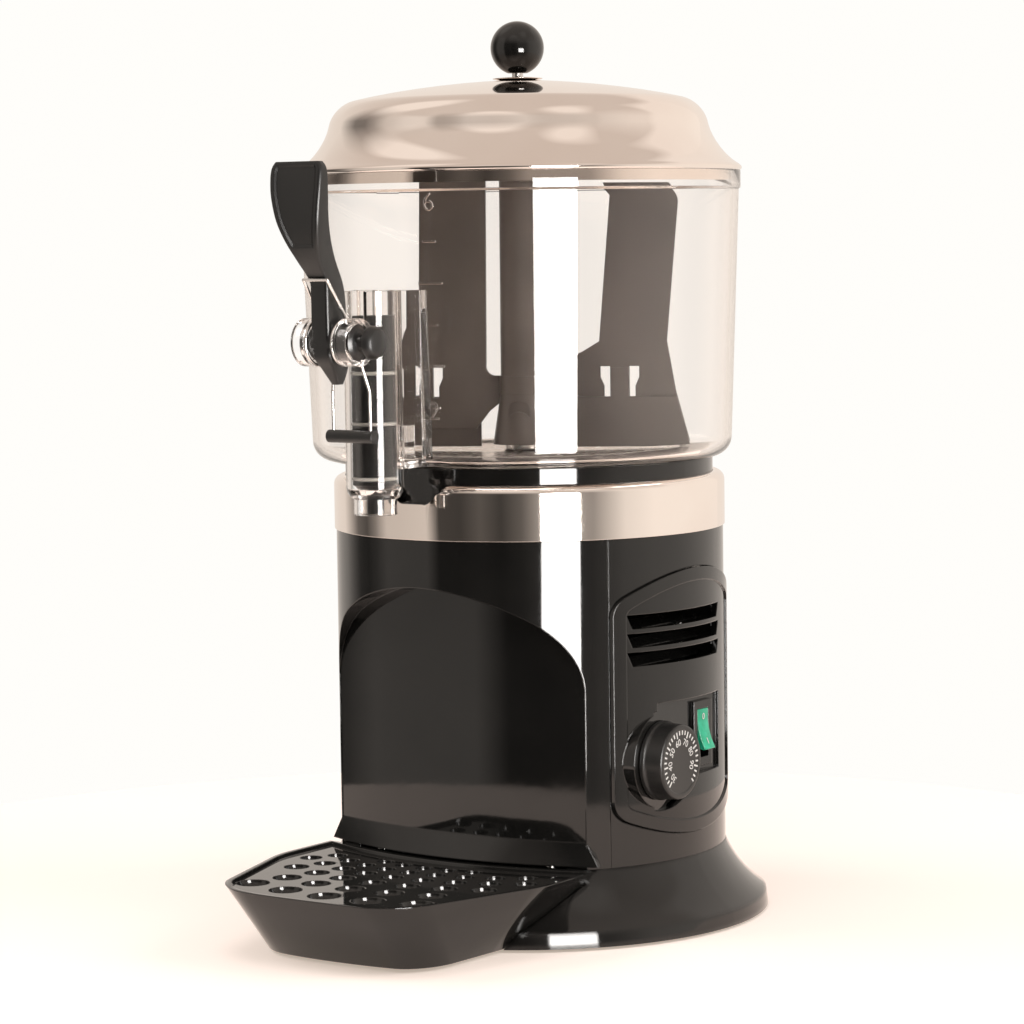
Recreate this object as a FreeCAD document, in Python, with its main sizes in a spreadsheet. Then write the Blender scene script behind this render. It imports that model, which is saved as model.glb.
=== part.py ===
"""A hot chocolate dispenser: a heated clear bowl with a turning mixer on a black drum,
a lever tap at its front and a drip tray below. Millimetres, +Z up, front towards -Y."""
import FreeCAD, Part
import math
import os
import re
import Sketcher

doc = FreeCAD.newDocument("ChocolateDispenser")
sizes = doc.addObject("Spreadsheet::Sheet", "Sizes")

# Driving dimensions
DIMENSIONS = {
    "base_radius": 124.0,
    "base_lip_height": 9.0,
    "base_rim_lift": 1.5,
    "seam_height": 36.2,
    "flare_radius": 60.0,
    "shell_wall": 2.6,
    "body_radius": 101.7,
    "body_top": 202.5,
    "seam_angle": 57.0,
    "foot_radius": 9.0,
    "foot_angle": 35.0,
    "foot_ring_radius": 95.0,
    "plate_level": 3.0,
    "plate_gauge": 1.2,
    "screw_radius": 2.0,
    "screw_length": 10.0,
    "boss_wall": 3.0,
    "boss_ring_radius": 100.0,
    "niche_width": 154.8,
    "niche_top": 178.2,
    "niche_arch_radius": 110.0,
    "niche_corner_radius": 43.0,
    "niche_depth": 25.2,
    "niche_face_radius": 273.0,
    "skirt_bottom": 38.0,
    "skirt_height": 12.0,
    "skirt_kick": 6.0,
    "skirt_width": 168.0,
    "skirt_radius": 210.0,
    "skirt_return": 3.0,
    "panel_width": 110.0,
    "panel_top": 185.0,
    "panel_bottom": 48.6,
    "panel_top_radius": 105.0,
    "panel_bottom_radius": 120.0,
    "panel_corner_radius": 12.0,
    "panel_proud": 1.6,
    "panel_gap": 0.4,
    "field_inset": 7.0,
    "field_depth": 1.0,
    "facet_x": 97.0,
    "facet_left": 30.0,
    "facet_right": 27.0,
    "facet_bottom": 77.7,
    "facet_top": 117.7,
    "louvre_bottom": 137.5,
    "louvre_height": 7.2,
    "louvre_pitch": 9.5,
    "louvre_left": 47.0,
    "louvre_right": 28.0,
    "louvre_slant": 3.0,
    "slat_x": 77.0,
    "slat_depth": 8.0,
    "slat_gauge": 1.4,
    "dial_y": -26.7,
    "dial_z": 88.3,
    "dial_boss_radius": 24.0,
    "dial_radius": 19.4,
    "dial_length": 12.5,
    "spindle_radius": 3.0,
    "thermostat_width": 32.0,
    "thermostat_height": 28.0,
    "thermostat_depth": 26.0,
    "cord_hole_radius": 7.0,
    "cord_level": 62.0,
    "switch_y": 11.5,
    "switch_z": 97.5,
    "switch_frame_width": 17.0,
    "switch_frame_height": 34.0,
    "switch_frame_depth": 2.0,
    "switch_body_depth": 18.0,
    "rocker_width": 10.0,
    "rocker_height": 21.2,
    "rocker_tip": 6.0,
    "rocker_pivot_depth": 1.5,
    "band_radius": 102.6,
    "band_top": 230.6,
    "band_gauge": 1.0,
    "band_shoulder": 5.0,
    "dip_top_width": 41.0,
    "dip_bottom_width": 17.0,
    "dip_depth": 10.0,
    "neck_radius": 96.5,
    "neck_top": 238.5,
    "bowl_shift": -5.8,
    "bowl_wall": 3.0,
    "bowl_floor_gauge": 3.5,
    "bowl_bottom_radius": 109.0,
    "bowl_rim_radius": 115.2,
    "bowl_rim_top": 386.7,
    "bowl_rim_band": 9.2,
    "bowl_corner": 9.0,
    "bowl_throat_radius": 86.2,
    "dish_radius": 84.2,
    "dish_top": 241.2,
    "dish_gauge": 1.2,
    "dish_collar_radius": 9.0,
    "dish_collar_top": 252.0,
    "tank_bottom": 186.0,
    "tank_gauge": 1.0,
    "heater_ring_radius": 58.0,
    "heater_tube_radius": 4.0,
    "heater_lift": 9.0,
    "deck_gauge": 1.5,
    "tie_rod_radius": 3.0,
    "tie_rod_ring": 82.0,
    "tie_rod_angle": 49.0,
    "gearbox_radius": 34.0,
    "gearbox_height": 32.0,
    "motor_radius": 27.0,
    "motor_height": 56.0,
    "shaft_radius": 5.0,
    "shaft_top": 264.0,
    "mixer_angle": 27.0,
    "mixer_bottom": 245.6,
    "mixer_top": 380.0,
    "column_radius": 10.9,
    "hub_foot_radius": 15.2,
    "hub_height": 26.0,
    "collar_radius": 11.6,
    "collar_height": 9.5,
    "blade_gauge": 3.0,
    "scraper_gauge": 2.0,
    "scraper_height": 26.0,
    "mixer_reach": 88.0,
    "wing_flare": 7.0,
    "wing_step": 27.0,
    "wing_waist": 11.5,
    "wing_waist_height": 53.0,
    "wing_strip": 35.3,
    "window_width": 5.2,
    "window_height": 16.0,
    "window_lift": 24.0,
    "window_notch": 2.0,
    "clip_width": 9.2,
    "clip_x": 51.8,
    "hub_window_half": 5.3,
    "hub_window_low": 11.8,
    "hub_window_high": 5.6,
    "hub_window_depth": 1.4,
    "tap_y": -133.5,
    "tap_radius": 14.3,
    "tap_bore": 11.4,
    "tap_top": 328.3,
    "tap_bottom": 226.0,
    "nozzle_radius": 10.8,
    "nozzle_wall": 2.0,
    "nozzle_bottom": 218.0,
    "pad_width": 41.0,
    "port_height": 10.0,
    "port_width": 12.0,
    "piston_clearance": 0.4,
    "piston_top": 316.0,
    "pin_y": -165.7,
    "pin_z": 304.0,
    "pin_radius": 4.0,
    "ear_radius": 11.8,
    "ear_bore": 9.2,
    "ear_inner_x": 9.0,
    "ear_outer_x": 16.5,
    "lever_hub_radius": 10.0,
    "lever_stem_width": 10.8,
    "lever_blade_width": 31.0,
    "lever_edge": 1.6,
    "scoop_border": 2.2,
    "lever_finger_radius": 3.5,
    "spring_wire_radius": 0.8,
    "spring_coil_radius": 11.0,
    "sleeve_radius": 3.2,
    "sleeve_z": 257.5,
    "sleeve_length": 28.0,
    "bail_z": 334.5,
    "lid_gauge": 1.0,
    "lid_height": 46.5,
    "lid_shoulder_radius": 93.0,
    "knob_radius": 13.9,
    "knob_flat_radius": 5.0,
    "knob_stand": 2.03,
    "washer_radius": 13.0,
    "washer_gauge": 2.6,
    "tray_top": 36.5,
    "tray_bottom": 2.0,
    "tray_half_width": 84.0,
    "tray_front": 201.0,
    "tray_back": 68.0,
    "tray_bend": 112.0,
    "tray_turn_x": 70.6,
    "tray_turn_y": 175.0,
    "tray_front_x": 44.0,
    "tray_front_radius": 440.0,
    "tray_corner_radius": 32.0,
    "tray_taper": 27.0,
    "tray_wall": 2.2,
    "grid_gauge": 2.0,
    "grid_drop": 1.6,
    "grid_border": 21.0,
    "dimple_depth": 1.5,
    "drain_radius": 1.4,
    "running_gap": 0.3,
    "fit_gap": 0.05,
    "ring_depth": 22.0,
    "dish_skirt": 16.0,
    "dish_edge": 1.5,
    "dish_fillet": 3.0,
    "tank_corner": 6.0,
    "tank_drop": 4.0,
    "heater_lead_x": 12.0,
    "heater_lead_drop": 12.0,
    "gear_socket": 12.0,
    "motor_corner": 4.0,
    "motor_tail_radius": 7.0,
    "motor_tail": 3.0,
    "shaft_flat": 0.7,
    "scraper_root": 22.0,
    "scraper_slope": 7.0,
    "scraper_drop": 1.6,
    "seal_radius": 0.95,
    "pin_neck_radius": 4.6,
    "pin_knob_radius": 8.2,
    "pin_face_radius": 6.4,
    "bail_reach": 12.6,
    "crown_rise": 9.2,
    "lid_hole_radius": 3.2,
    "stud_radius": 2.9,
    "stud_head_radius": 5.5,
    "stud_head_height": 3.0,
    "terminal_width": 44.0,
    "terminal_depth": 16.0,
    "terminal_height": 14.0,
    "terminal_y": 66.0,
    "cutout_radius": 8.0,
    "cutout_height": 8.0,
    "cutout_x": 42.0,
    "cutout_y": 32.0,
    "gland_bore": 3.6,
    "gland_neck_radius": 6.8,
    "gland_flange_radius": 9.5,
    "gland_length": 8.0,
}

# Sizes that follow from the driving ones
DERIVED = {
    "axis_y": "(tray_front - base_radius) / 2",
    "bowl_y": "axis_y + bowl_shift",
    "body_inner": "body_radius - shell_wall",
    "niche_face_y": "-(body_radius - niche_depth)",
    "panel_radius": "body_radius + panel_proud",
    "deck_level": "tank_bottom - deck_gauge - running_gap",
    "bowl_floor": "neck_top + running_gap",
    "lid_bottom": "bowl_rim_top + running_gap",
    "crown_top": "lid_bottom + lid_height",
    "knob_low": "crown_top + washer_gauge + knob_stand",
    "knob_centre": "knob_low + sqrt(knob_radius ^ 2 - knob_flat_radius ^ 2)",
    "skirt_centre_y": "niche_face_y - skirt_kick + skirt_radius",
    "skirt_back": "skirt_centre_y - sqrt(skirt_radius ^ 2 - skirt_width ^ 2 / 4) + skirt_return",
    "grid_top": "tray_top - grid_drop",
    "lever_arm": "tap_y - pin_y",
}


def fill_sheet():
    """Write every size into the sheet under its own name."""
    rows = list(DIMENSIONS.items())
    rows += [(name, "=" + formula) for name, formula in DERIVED.items()]
    for row, (name, content) in enumerate(rows, start=1):
        sizes.set("A%d" % row, name)
        sizes.set("B%d" % row, str(content))
        sizes.setAlias("B%d" % row, name)
    doc.recompute()


fill_sheet()
NAMES = set(DIMENSIONS) | set(DERIVED)


def bound(expression):
    """Point each size named in an expression at its cell."""
    return re.sub(r"[a-z][a-z_]*", lambda m: "Sizes." + m[0] if m[0] in NAMES else m[0], str(expression))


def value(expression):
    """The number that an expression of named sizes gives now."""
    result = sizes.evalExpression(bound(expression))
    return float(getattr(result, "Value", result))


def bind(obj, prop, expression):
    """Tie one property to an expression of named sizes."""
    obj.setExpression(prop, bound(expression))


def place(obj, x="0", y="0", z="0"):
    """Tie an object's position to the sheet."""
    bind(obj, "Placement.Base.x", x)
    bind(obj, "Placement.Base.y", y)
    bind(obj, "Placement.Base.z", z)
    return obj


def new(kind, name):
    return doc.addObject(kind, name)


def new_body(name):
    return new("PartDesign::Body", name)


def draw(body, plane, corners, offset="0"):
    """A closed, fully bound sketch: each corner is (x, y), or (x, y, radius, side) where
    the edge that leaves it is an arc, with its centre on the left (1) or right (-1)."""
    sketch = body.newObject("Sketcher::SketchObject", body.Name + "Outline")
    origin = [item for item in body.Origin.OriginFeatures if item.Role == plane][0]
    sketch.AttachmentSupport = [(origin, "")]
    sketch.MapMode = "FlatFace"
    bind(sketch, "AttachmentOffset.Base.z", offset)
    points = [FreeCAD.Vector(value(c[0]), value(c[1]), 0) for c in corners]
    ends = []
    for index, corner in enumerate(corners):
        start, stop = points[index], points[(index + 1) % len(points)]
        if len(corner) == 2:
            sketch.addGeometry(Part.LineSegment(start, stop), False)
            ends.append((1, 2))
            continue
        radius, side = value(corner[2]), corner[3]
        chord = stop - start
        rise = math.sqrt(max(radius ** 2 - (chord.Length / 2) ** 2, 0.0))
        left = FreeCAD.Vector(-chord.y, chord.x, 0).normalize()
        centre = (start + stop) * 0.5 + left * rise * side
        first, last = (start, stop) if side > 0 else (stop, start)
        angles = [math.atan2(p.y - centre.y, p.x - centre.x) for p in (first, last)]
        circle = Part.Circle(centre, FreeCAD.Vector(0, 0, 1), radius)
        sketch.addGeometry(Part.ArcOfCircle(circle, angles[0], angles[1]), False)
        ends.append((1, 2) if side > 0 else (2, 1))
    for index, corner in enumerate(corners):
        follower = (index + 1) % len(corners)
        start_end = ends[index][0]
        join = Sketcher.Constraint("Coincident", index, ends[index][1], follower, ends[follower][0])
        sketch.addConstraint(join)
        point = points[index]
        for axis, text, number in (("DistanceX", corner[0], point.x), ("DistanceY", corner[1], point.y)):
            made = sketch.addConstraint(Sketcher.Constraint(axis, -1, 1, index, start_end, number))
            bind(sketch, "Constraints[%d]" % made, text)
        if len(corner) > 2:
            made = sketch.addConstraint(Sketcher.Constraint("Radius", index, value(corner[2])))
            bind(sketch, "Constraints[%d]" % made, corner[2])
    return sketch


def turned(name, corners):
    """A solid of revolution about the vertical axis from an (r, z) outline."""
    body = new_body(name)
    sketch = draw(body, "XZ_Plane", corners)
    turn = body.newObject("PartDesign::Revolution", name + "Turn")
    turn.Profile = sketch
    turn.ReferenceAxis = (sketch, ["V_Axis"])
    turn.Angle = 360.0
    return body


def pressed(name, plane, corners, start, length):
    """A prism: an outline on one of the body's planes, from a start level over a length."""
    body = new_body(name)
    sketch = draw(body, plane, corners, start)
    pad = body.newObject("PartDesign::Pad", name + "Pad")
    pad.Profile = sketch
    bind(pad, "Length", length)
    return body


def rounded(body, radius, choose):
    """Round the edges of a body's last feature that a rule picks."""
    doc.recompute()
    tip = body.Tip
    names = ["Edge%d" % (i + 1) for i, edge in enumerate(tip.Shape.Edges) if choose(edge)]
    fillet = body.newObject("PartDesign::Fillet", body.Name + "Round")
    fillet.Base = (tip, names)
    bind(fillet, "Radius", radius)
    return body


def rod(name, radius, length, x="0", y="0", z="0", along="Z"):
    """A round bar from a point along one axis."""
    bar = new("Part::Cylinder", name)
    bind(bar, "Radius", radius)
    bind(bar, "Height", length)
    turn = {"Z": (0, 0, 1, 0), "X": (0, 1, 0, 90), "Y": (1, 0, 0, -90)}[along]
    bar.Placement.Rotation = FreeCAD.Rotation(FreeCAD.Vector(*turn[:3]), turn[3])
    return place(bar, x, y, z)


def block(name, x, y, z, length, width, height):
    """A box from its lowest corner."""
    box = new("Part::Box", name)
    for prop, size in (("Length", length), ("Width", width), ("Height", height)):
        bind(box, prop, size)
    return place(box, x, y, z)


def cut(name, base, *tools):
    """One piece less others."""
    result = new("Part::Cut", name)
    result.Base = base
    result.Tool = tools[0] if len(tools) == 1 else joined(name + "Tools", *tools)
    return result


def joined(name, *pieces):
    """Several solids made one."""
    result = new("Part::MultiFuse", name)
    result.Shapes = list(pieces)
    return result


def shared(name, *pieces):
    """The space that several solids share."""
    result = new("Part::MultiCommon", name)
    result.Shapes = list(pieces)
    return result


def group(name, pieces):
    """Separate solids kept as one piece of the list."""
    result = new("Part::Compound", name)
    result.Links = pieces
    return result


PARTS = []


def finish(label, obj, y="axis_y"):
    """Name a finished piece and set it on its axis."""
    obj.Label = label
    bind(obj, "Placement.Base.y", y)
    PARTS.append(obj)
    return obj


def ring_of(count, first, step):
    """Angles in degrees of a ring of equal pieces."""
    return [first + step * index for index in range(count)]


# Drip tray: an outline that narrows towards its floor
TAPER_SLOPE = "(tray_taper / (tray_top - tray_bottom))"
BAY_LOW = "((tray_top + 1) * %s)" % TAPER_SLOPE
BAY_HIGH = "(-20 * %s)" % TAPER_SLOPE


def tray_outline(name, grow, level, inset="0"):
    """The tray's plan at one level, grown outwards, and pulled in towards the floor."""
    body = new_body(name)
    grow = "(%s)" % grow
    inset = "(%s)" % inset
    side = "(tray_half_width + %s - %s)" % (grow, inset)
    turn_x = "(tray_turn_x + %s - %s * 0.75)" % (grow, inset)
    turn_y = "(tray_turn_y + %s * 0.2 - %s * 0.9)" % (grow, inset)
    front_x = "(tray_front_x - %s * 0.75)" % inset
    front_y = "(tray_front + %s - %s - tray_front_radius + sqrt(tray_front_radius ^ 2 - %s ^ 2))" % (
        grow, inset, front_x)
    back = "(tray_back - %s)" % grow
    corner = "(tray_corner_radius + %s)" % grow
    corners = [
        (side, "-" + back),
        ("-" + side, "-" + back),
        ("-" + side, "-tray_bend"),
        ("-" + turn_x, "-" + turn_y, corner, 1),
        ("-" + front_x, "-" + front_y, "tray_front_radius", 1),
        (front_x, "-" + front_y, corner, 1),
        (turn_x, "-" + turn_y),
        (side, "-tray_bend"),
    ]
    return draw(body, "XY_Plane", corners, level)


def tray_form(name, grow, bottom, top, bottom_inset, top_inset="0"):
    """The tray's tapered form between two levels."""
    loft = new("Part::Loft", name)
    low = tray_outline(name + "Low", grow, bottom, bottom_inset)
    high = tray_outline(name + "High", grow, top, top_inset)
    loft.Sections = [low, high]
    loft.Solid = True
    loft.Ruled = True
    return loft


# Plinth: a bell-shaped foot with a bay cut in its front for the tray
def plinth_outline(inset, bottom, top):
    """The flared wall's outline at a depth below its surface."""
    foot = "(base_radius - %s)" % inset
    neck = "(body_radius - %s)" % inset
    return [
        ("0", bottom),
        (foot, bottom),
        (foot + " - 1", "base_lip_height - %s * 0.5" % inset, "flare_radius", -1),
        (neck, top),
        ("0", top),
    ]


plinth_skin = turned("PlinthSkin", plinth_outline("0", "base_rim_lift", "seam_height"))
plinth_core = turned("PlinthCore", plinth_outline("shell_wall", "-1", "seam_height - shell_wall"))
tray_bay = tray_form("TrayBay", "running_gap", "-1", "tray_top + 20", BAY_LOW, BAY_HIGH)
bay_wall = tray_form("BayWall", "(running_gap + shell_wall)", "-1", "tray_top + 20", BAY_LOW, BAY_HIGH)
plinth_hollow = cut("PlinthHollow", plinth_core, bay_wall)


def boss_place(angle):
    """Where a screw boss stands on its ring, as sizes."""
    turn = math.radians(angle)
    return "boss_ring_radius * %d" % round(math.cos(turn)), "boss_ring_radius * %d" % round(math.sin(turn))


BOSS_ANGLES = ring_of(3, 0, 90)
bosses = []
for angle in BOSS_ANGLES:
    x, y = boss_place(angle)
    boss = rod("Boss%d" % angle, "screw_radius + boss_wall", "seam_height", x, y,
               "plate_level + plate_gauge")
    bore = rod("BossBore%d" % angle, "screw_radius", "screw_length + plate_level + 1", x, y, "0")
    bosses.append(cut("BossTube%d" % angle, boss, bore))
boss_set = shared("BossSet", joined("BossRing", *bosses), turned("PlinthForm", plinth_outline(
    "shell_wall * 0.5", "0", "seam_height - shell_wall * 0.5")))
wire_way = rod("WireWay", "heater_ring_radius + 2", "seam_height", "0", "0", "seam_height - shell_wall - 5")
plinth_shell = cut("PlinthShell", plinth_skin, tray_bay, plinth_hollow, wire_way)
finish("base_plinth", joined("Plinth", plinth_shell, boss_set))

plate_disc = rod("PlateDisc", "base_radius - shell_wall - 2.5", "plate_gauge", "0", "0", "plate_level")
plate_holes = [rod("PlateHole%d" % angle, "screw_radius + running_gap", "20", *boss_place(angle))
               for angle in BOSS_ANGLES]
bay_clear = tray_form("BayClear", "(2 * running_gap + shell_wall)", "-1", "tray_top + 20", BAY_LOW,
                      BAY_HIGH)
finish("bottom_plate", cut("BottomPlate", plate_disc, bay_clear, *plate_holes))

SCREW_HEAD_HEIGHT = "(screw_radius * 0.8)"
screws = []
for angle in BOSS_ANGLES:
    x, y = boss_place(angle)
    shank = rod("ScrewShank%d" % angle, "screw_radius - fit_gap", "screw_length", x, y, "plate_level")
    head = rod("ScrewHead%d" % angle, "screw_radius * 1.9", SCREW_HEAD_HEIGHT, x, y,
               "plate_level - " + SCREW_HEAD_HEIGHT)
    screws.append(joined("Screw%d" % angle, shank, head))
finish("bottom_screws", group("BottomScrews", screws))

feet = []
for index, angle in enumerate(("foot_angle", "180 - foot_angle", "180 + foot_angle", "-foot_angle")):
    foot = new("Part::Cone", "Foot%d" % index)
    bind(foot, "Radius1", "foot_radius - 1")
    bind(foot, "Radius2", "foot_radius")
    bind(foot, "Height", "plate_level")
    place(foot, "foot_ring_radius * cos(%s)" % angle, "foot_ring_radius * sin(%s)" % angle, "0")
    feet.append(foot)
finish("rubber_feet", group("RubberFeet", feet))


# Drum: a front shell with the cup niche, a rear shell and the control panel
def wall(name, radius, gauge, bottom, top):
    """A round wall between two levels."""
    outer = rod(name + "Outer", radius, "(%s) - (%s)" % (top, bottom), "0", "0", bottom)
    inner = rod(name + "Inner", "(%s) - (%s)" % (radius, gauge), "(%s) - (%s) + 2" % (top, bottom),
                "0", "0", "(%s) - 1" % bottom)
    return cut(name, outer, inner)


def front_wedge(name, gap):
    """The space in front of the two seams."""
    far = "(2 * body_radius)"
    edge_x = "%s * sin(seam_angle)" % far
    edge_y = "-%s * cos(seam_angle) - %s" % (far, gap)
    corners = [("0", "-(%s)" % gap), ("-" + edge_x, edge_y), ("-" + edge_x, "-2 * " + far),
               (edge_x, "-2 * " + far), (edge_x, edge_y)]
    return pressed(name, "XY_Plane", corners, "0", "body_top + 20")


def arch(name, grow, bottom):
    """The niche's arched outline as a prism towards the front."""
    half = "(niche_width / 2 + %s)" % grow
    top_radius = "(niche_arch_radius + %s)" % grow
    shoulder = "(niche_top - niche_arch_radius + sqrt(%s ^ 2 - %s ^ 2))" % (top_radius, half)
    corners = [(half, bottom), (half, shoulder, top_radius, 1), ("-" + half, shoulder), ("-" + half, bottom)]
    body = pressed(name, "XZ_Plane", corners, "30", "body_radius + 30")
    level = value(shoulder)
    return rounded(body, "niche_corner_radius + " + grow, lambda edge: is_corner(edge, "Y", 2, level))


def is_corner(edge, direction, axis, level):
    """Whether a straight edge runs along an axis at one height."""
    ends = [vertex.Point for vertex in edge.Vertexes]
    if len(ends) != 2:
        return False
    run = ends[1] - ends[0]
    along = {"X": run.x, "Y": run.y, "Z": run.z}[direction]
    same_run = abs(abs(along) - run.Length) < 1e-6 and run.Length > 1
    return same_run and abs(ends[0][axis] - level) < 0.01 and abs(ends[1][axis] - level) < 0.01


face_centre = "niche_face_y + niche_face_radius"
niche_face = rod("NicheFace", "niche_face_radius", "body_top", "0", face_centre, "0")
niche_back = rod("NicheBack", "niche_face_radius - shell_wall", "body_top + 2", "0", face_centre, "-1")
niche_space = cut("NicheSpace", arch("NicheArch", "0", "seam_height - 2"), niche_face)
niche_block = cut("NicheBlock", arch("NicheRim", "shell_wall", "seam_height - 1"), niche_back)
drum = rod("Drum", "body_radius", "body_top - seam_height", "0", "0", "seam_height")
drum_core = rod("DrumCore", "body_inner", "body_top", "0", "0", "seam_height - 1")
drum_hollow = cut("DrumHollow", drum_core, niche_block)


def skirt_plan(name, width, front_y, radius, level):
    """The plan of the kicked-out skirt at one level."""
    body = new_body(name)
    side_y = "(%s + %s - sqrt(%s ^ 2 - (%s / 2) ^ 2))" % (front_y, radius, radius, width)
    half = width + " / 2"
    corners = [(half, side_y), (half, "skirt_back"), ("-" + half, "skirt_back"),
               ("-" + half, side_y, radius, 1)]
    return draw(body, "XY_Plane", corners, level)


skirt = new("Part::Loft", "Skirt")
skirt.Sections = [
    skirt_plan("SkirtFoot", "skirt_width", "(niche_face_y - skirt_kick)", "skirt_radius", "skirt_bottom"),
    skirt_plan("SkirtCrease", "niche_width", "(niche_face_y - 0.2)", "niche_face_radius",
               "skirt_bottom + skirt_height"),
]
skirt.Solid = True
skirt.Ruled = True
skirt_inside = rod("SkirtInside", "niche_face_radius - shell_wall", "skirt_height + 4", "0", face_centre,
                   "skirt_bottom - 1")
under_skirt = block("UnderSkirt", "-base_radius", "-base_radius - tray_back + 2", "seam_height - 3",
                    "2 * base_radius", "base_radius", "skirt_bottom - seam_height + 3")
front_drum = cut("FrontDrum", drum, drum_hollow, niche_space)
front_form = shared("FrontForm", front_drum, front_wedge("FrontWedge", "0"))
front_skirt = cut("FrontSkirt", skirt, skirt_inside)
finish("front_cover", joined("FrontCover", cut("FrontShell", front_form, under_skirt), front_skirt))


def panel_outline(grow):
    """The control panel's outline seen from the side, as (y, z) corners."""
    half = "(panel_width / 2 + %s)" % grow
    up = "(panel_top_radius + %s)" % grow
    down = "(panel_bottom_radius + %s)" % grow
    high = "(panel_top - panel_top_radius + sqrt(%s ^ 2 - %s ^ 2))" % (up, half)
    low = "(panel_bottom + panel_bottom_radius - sqrt(%s ^ 2 - %s ^ 2))" % (down, half)
    return [("-" + half, low, down, 1), (half, low), (half, high, up, 1), ("-" + half, high)]


def panel_prism(name, grow):
    """The panel's outline pushed out through the drum's side."""
    body = pressed(name, "YZ_Plane", panel_outline(grow), "panel_radius * 0.5", "panel_radius")
    low, high = (value(panel_outline(grow)[i][1]) for i in (0, 2))

    def pick(edge):
        return is_corner(edge, "X", 2, low) or is_corner(edge, "X", 2, high)

    return rounded(body, "panel_corner_radius + " + grow, pick)


rear_wall = wall("RearWall", "body_radius", "shell_wall", "seam_height", "body_top")
cord_hole = rod("CordHole", "cord_hole_radius", "30", "0", "body_radius - 15", "cord_level", "Y")
finish("rear_cover", cut("RearCover", rear_wall, front_wedge("RearWedge", "-running_gap"),
                         panel_prism("PanelOpening", "0"), cord_hole))

pocket_width = "(facet_left + facet_right)"
facet = block("Facet", "facet_x", "-facet_left", "facet_bottom", "30", pocket_width,
              "facet_top - facet_bottom")
facet_well = rod("FacetWell", "dial_boss_radius + 1.5", "30", "facet_x", "dial_y", "dial_z", "X")
pocket = block("Pocket", "facet_x - shell_wall", "-facet_left - shell_wall", "facet_bottom - shell_wall",
               "30", pocket_width + " + 2 * shell_wall", "facet_top - facet_bottom + 2 * shell_wall")
dial_boss = rod("DialBoss", "dial_boss_radius", "16", "facet_x - 16", "dial_y", "dial_z", "X")
panel_skin = wall("PanelSkin", "panel_radius", "shell_wall + panel_proud", "seam_height", "body_top")
panel_edge = panel_prism("PanelEdge", "-panel_gap")
panel_drum = rod("PanelDrum", "panel_radius", "body_top - seam_height", "0", "0", "seam_height")
boss_hollow = rod("BossHollow", "dial_boss_radius - shell_wall + 1", "20", "facet_x - shell_wall - 20",
                  "dial_y", "dial_z", "X")
panel_solid = joined("PanelSolid", shared("PanelPlate", panel_skin, panel_edge),
                     shared("PanelPocket", pocket, panel_drum))
louvres = []
for index in range(3):
    low = "(louvre_bottom + louvre_pitch * %d)" % index
    slot = [("-louvre_left + louvre_slant", low), ("louvre_right - louvre_slant", low),
            ("louvre_right", low + " + louvre_height"), ("-louvre_left", low + " + louvre_height")]
    louvres.append(pressed("Louvre%d" % index, "YZ_Plane", slot, "60", "60"))
spindle_hole = rod("SpindleHole", "spindle_radius + 0.5", "60", "60", "dial_y", "dial_z", "X")
switch_hole = block("SwitchHole", "60", "switch_y - switch_frame_width / 2 + 2",
                    "switch_z - switch_frame_height / 2 + 2", "60", "switch_frame_width - 4",
                    "switch_frame_height - 4")
field_skin = wall("FieldSkin", "panel_radius + 2", "field_depth + 2", "seam_height", "body_top")
field = shared("PanelField", field_skin, panel_prism("FieldEdge", "-field_inset"))
panel_cut = cut("PanelCut", panel_solid, field, facet, facet_well, front_wedge("PanelWedge", "-running_gap"),
                *louvres)
finish("control_panel", cut("ControlPanel", joined("PanelWithBoss", panel_cut, dial_boss), boss_hollow,
                            spindle_hole, switch_hole))

# Behind the slots, a frame of sloping slats between two rails that reach the panel
slats = []
for index in range(3):
    low = "(louvre_bottom + louvre_pitch * %d)" % index
    blade = block("Slat%d" % index, "slat_x", "-louvre_left - 1", low + " + 1", "slat_depth",
                  "louvre_left + louvre_right + 2", "slat_gauge")
    blade.Placement.Rotation = FreeCAD.Rotation(FreeCAD.Vector(0, 1, 0), 30)
    slats.append(blade)
slat_rails = []
for side, rail_y in enumerate(("-louvre_left - 3", "louvre_right + 1")):
    far_y = "(%s + 2 * %d)" % (rail_y, side)
    slat_rails.append(block("SlatRail%d" % side, "slat_x - 1", rail_y, "louvre_bottom - 4",
                            "sqrt(body_inner ^ 2 - %s ^ 2) - running_gap - slat_x + 1" % far_y, "2",
                            "louvre_pitch * 3"))
finish("vent_slats", joined("VentSlats", *slats, *slat_rails))

# Dial, spindle and thermostat
dial = turned("Dial", [
    ("0", "0"), ("dial_radius + 0.8", "0"), ("dial_radius + 0.8", "2"), ("dial_radius", "3"),
    ("dial_radius - 0.5", "dial_length - 0.8"), ("dial_radius - 1.3", "dial_length"), ("0", "dial_length")])
dial.Placement.Rotation = FreeCAD.Rotation(FreeCAD.Vector(0, 1, 0), 90)
place(dial, "facet_x + running_gap", "dial_y", "dial_z")
dial_socket = rod("DialSocket", "spindle_radius", "dial_length * 0.6", "facet_x", "dial_y", "dial_z", "X")
finish("thermostat_dial", cut("DialKnob", dial, dial_socket))
spindle_back = "(facet_x - shell_wall - running_gap)"
finish("dial_spindle", group("DialSpindle", [rod(
    "Spindle", "spindle_radius", "shell_wall + 2 * running_gap + dial_length * 0.5 + 6",
    spindle_back + " - 6", "dial_y", "dial_z", "X")]))
thermostat_box = block("ThermostatBox", spindle_back + " - thermostat_depth + running_gap",
                       "dial_y - thermostat_width / 2", "dial_z - thermostat_height / 2", "thermostat_depth",
                       "thermostat_width", "thermostat_height")
spindle_bore = rod("SpindleBore", "spindle_radius + fit_gap", "7", spindle_back + " - 6.5", "dial_y",
                   "dial_z", "X")
finish("thermostat", cut("Thermostat", thermostat_box, spindle_bore))

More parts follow.
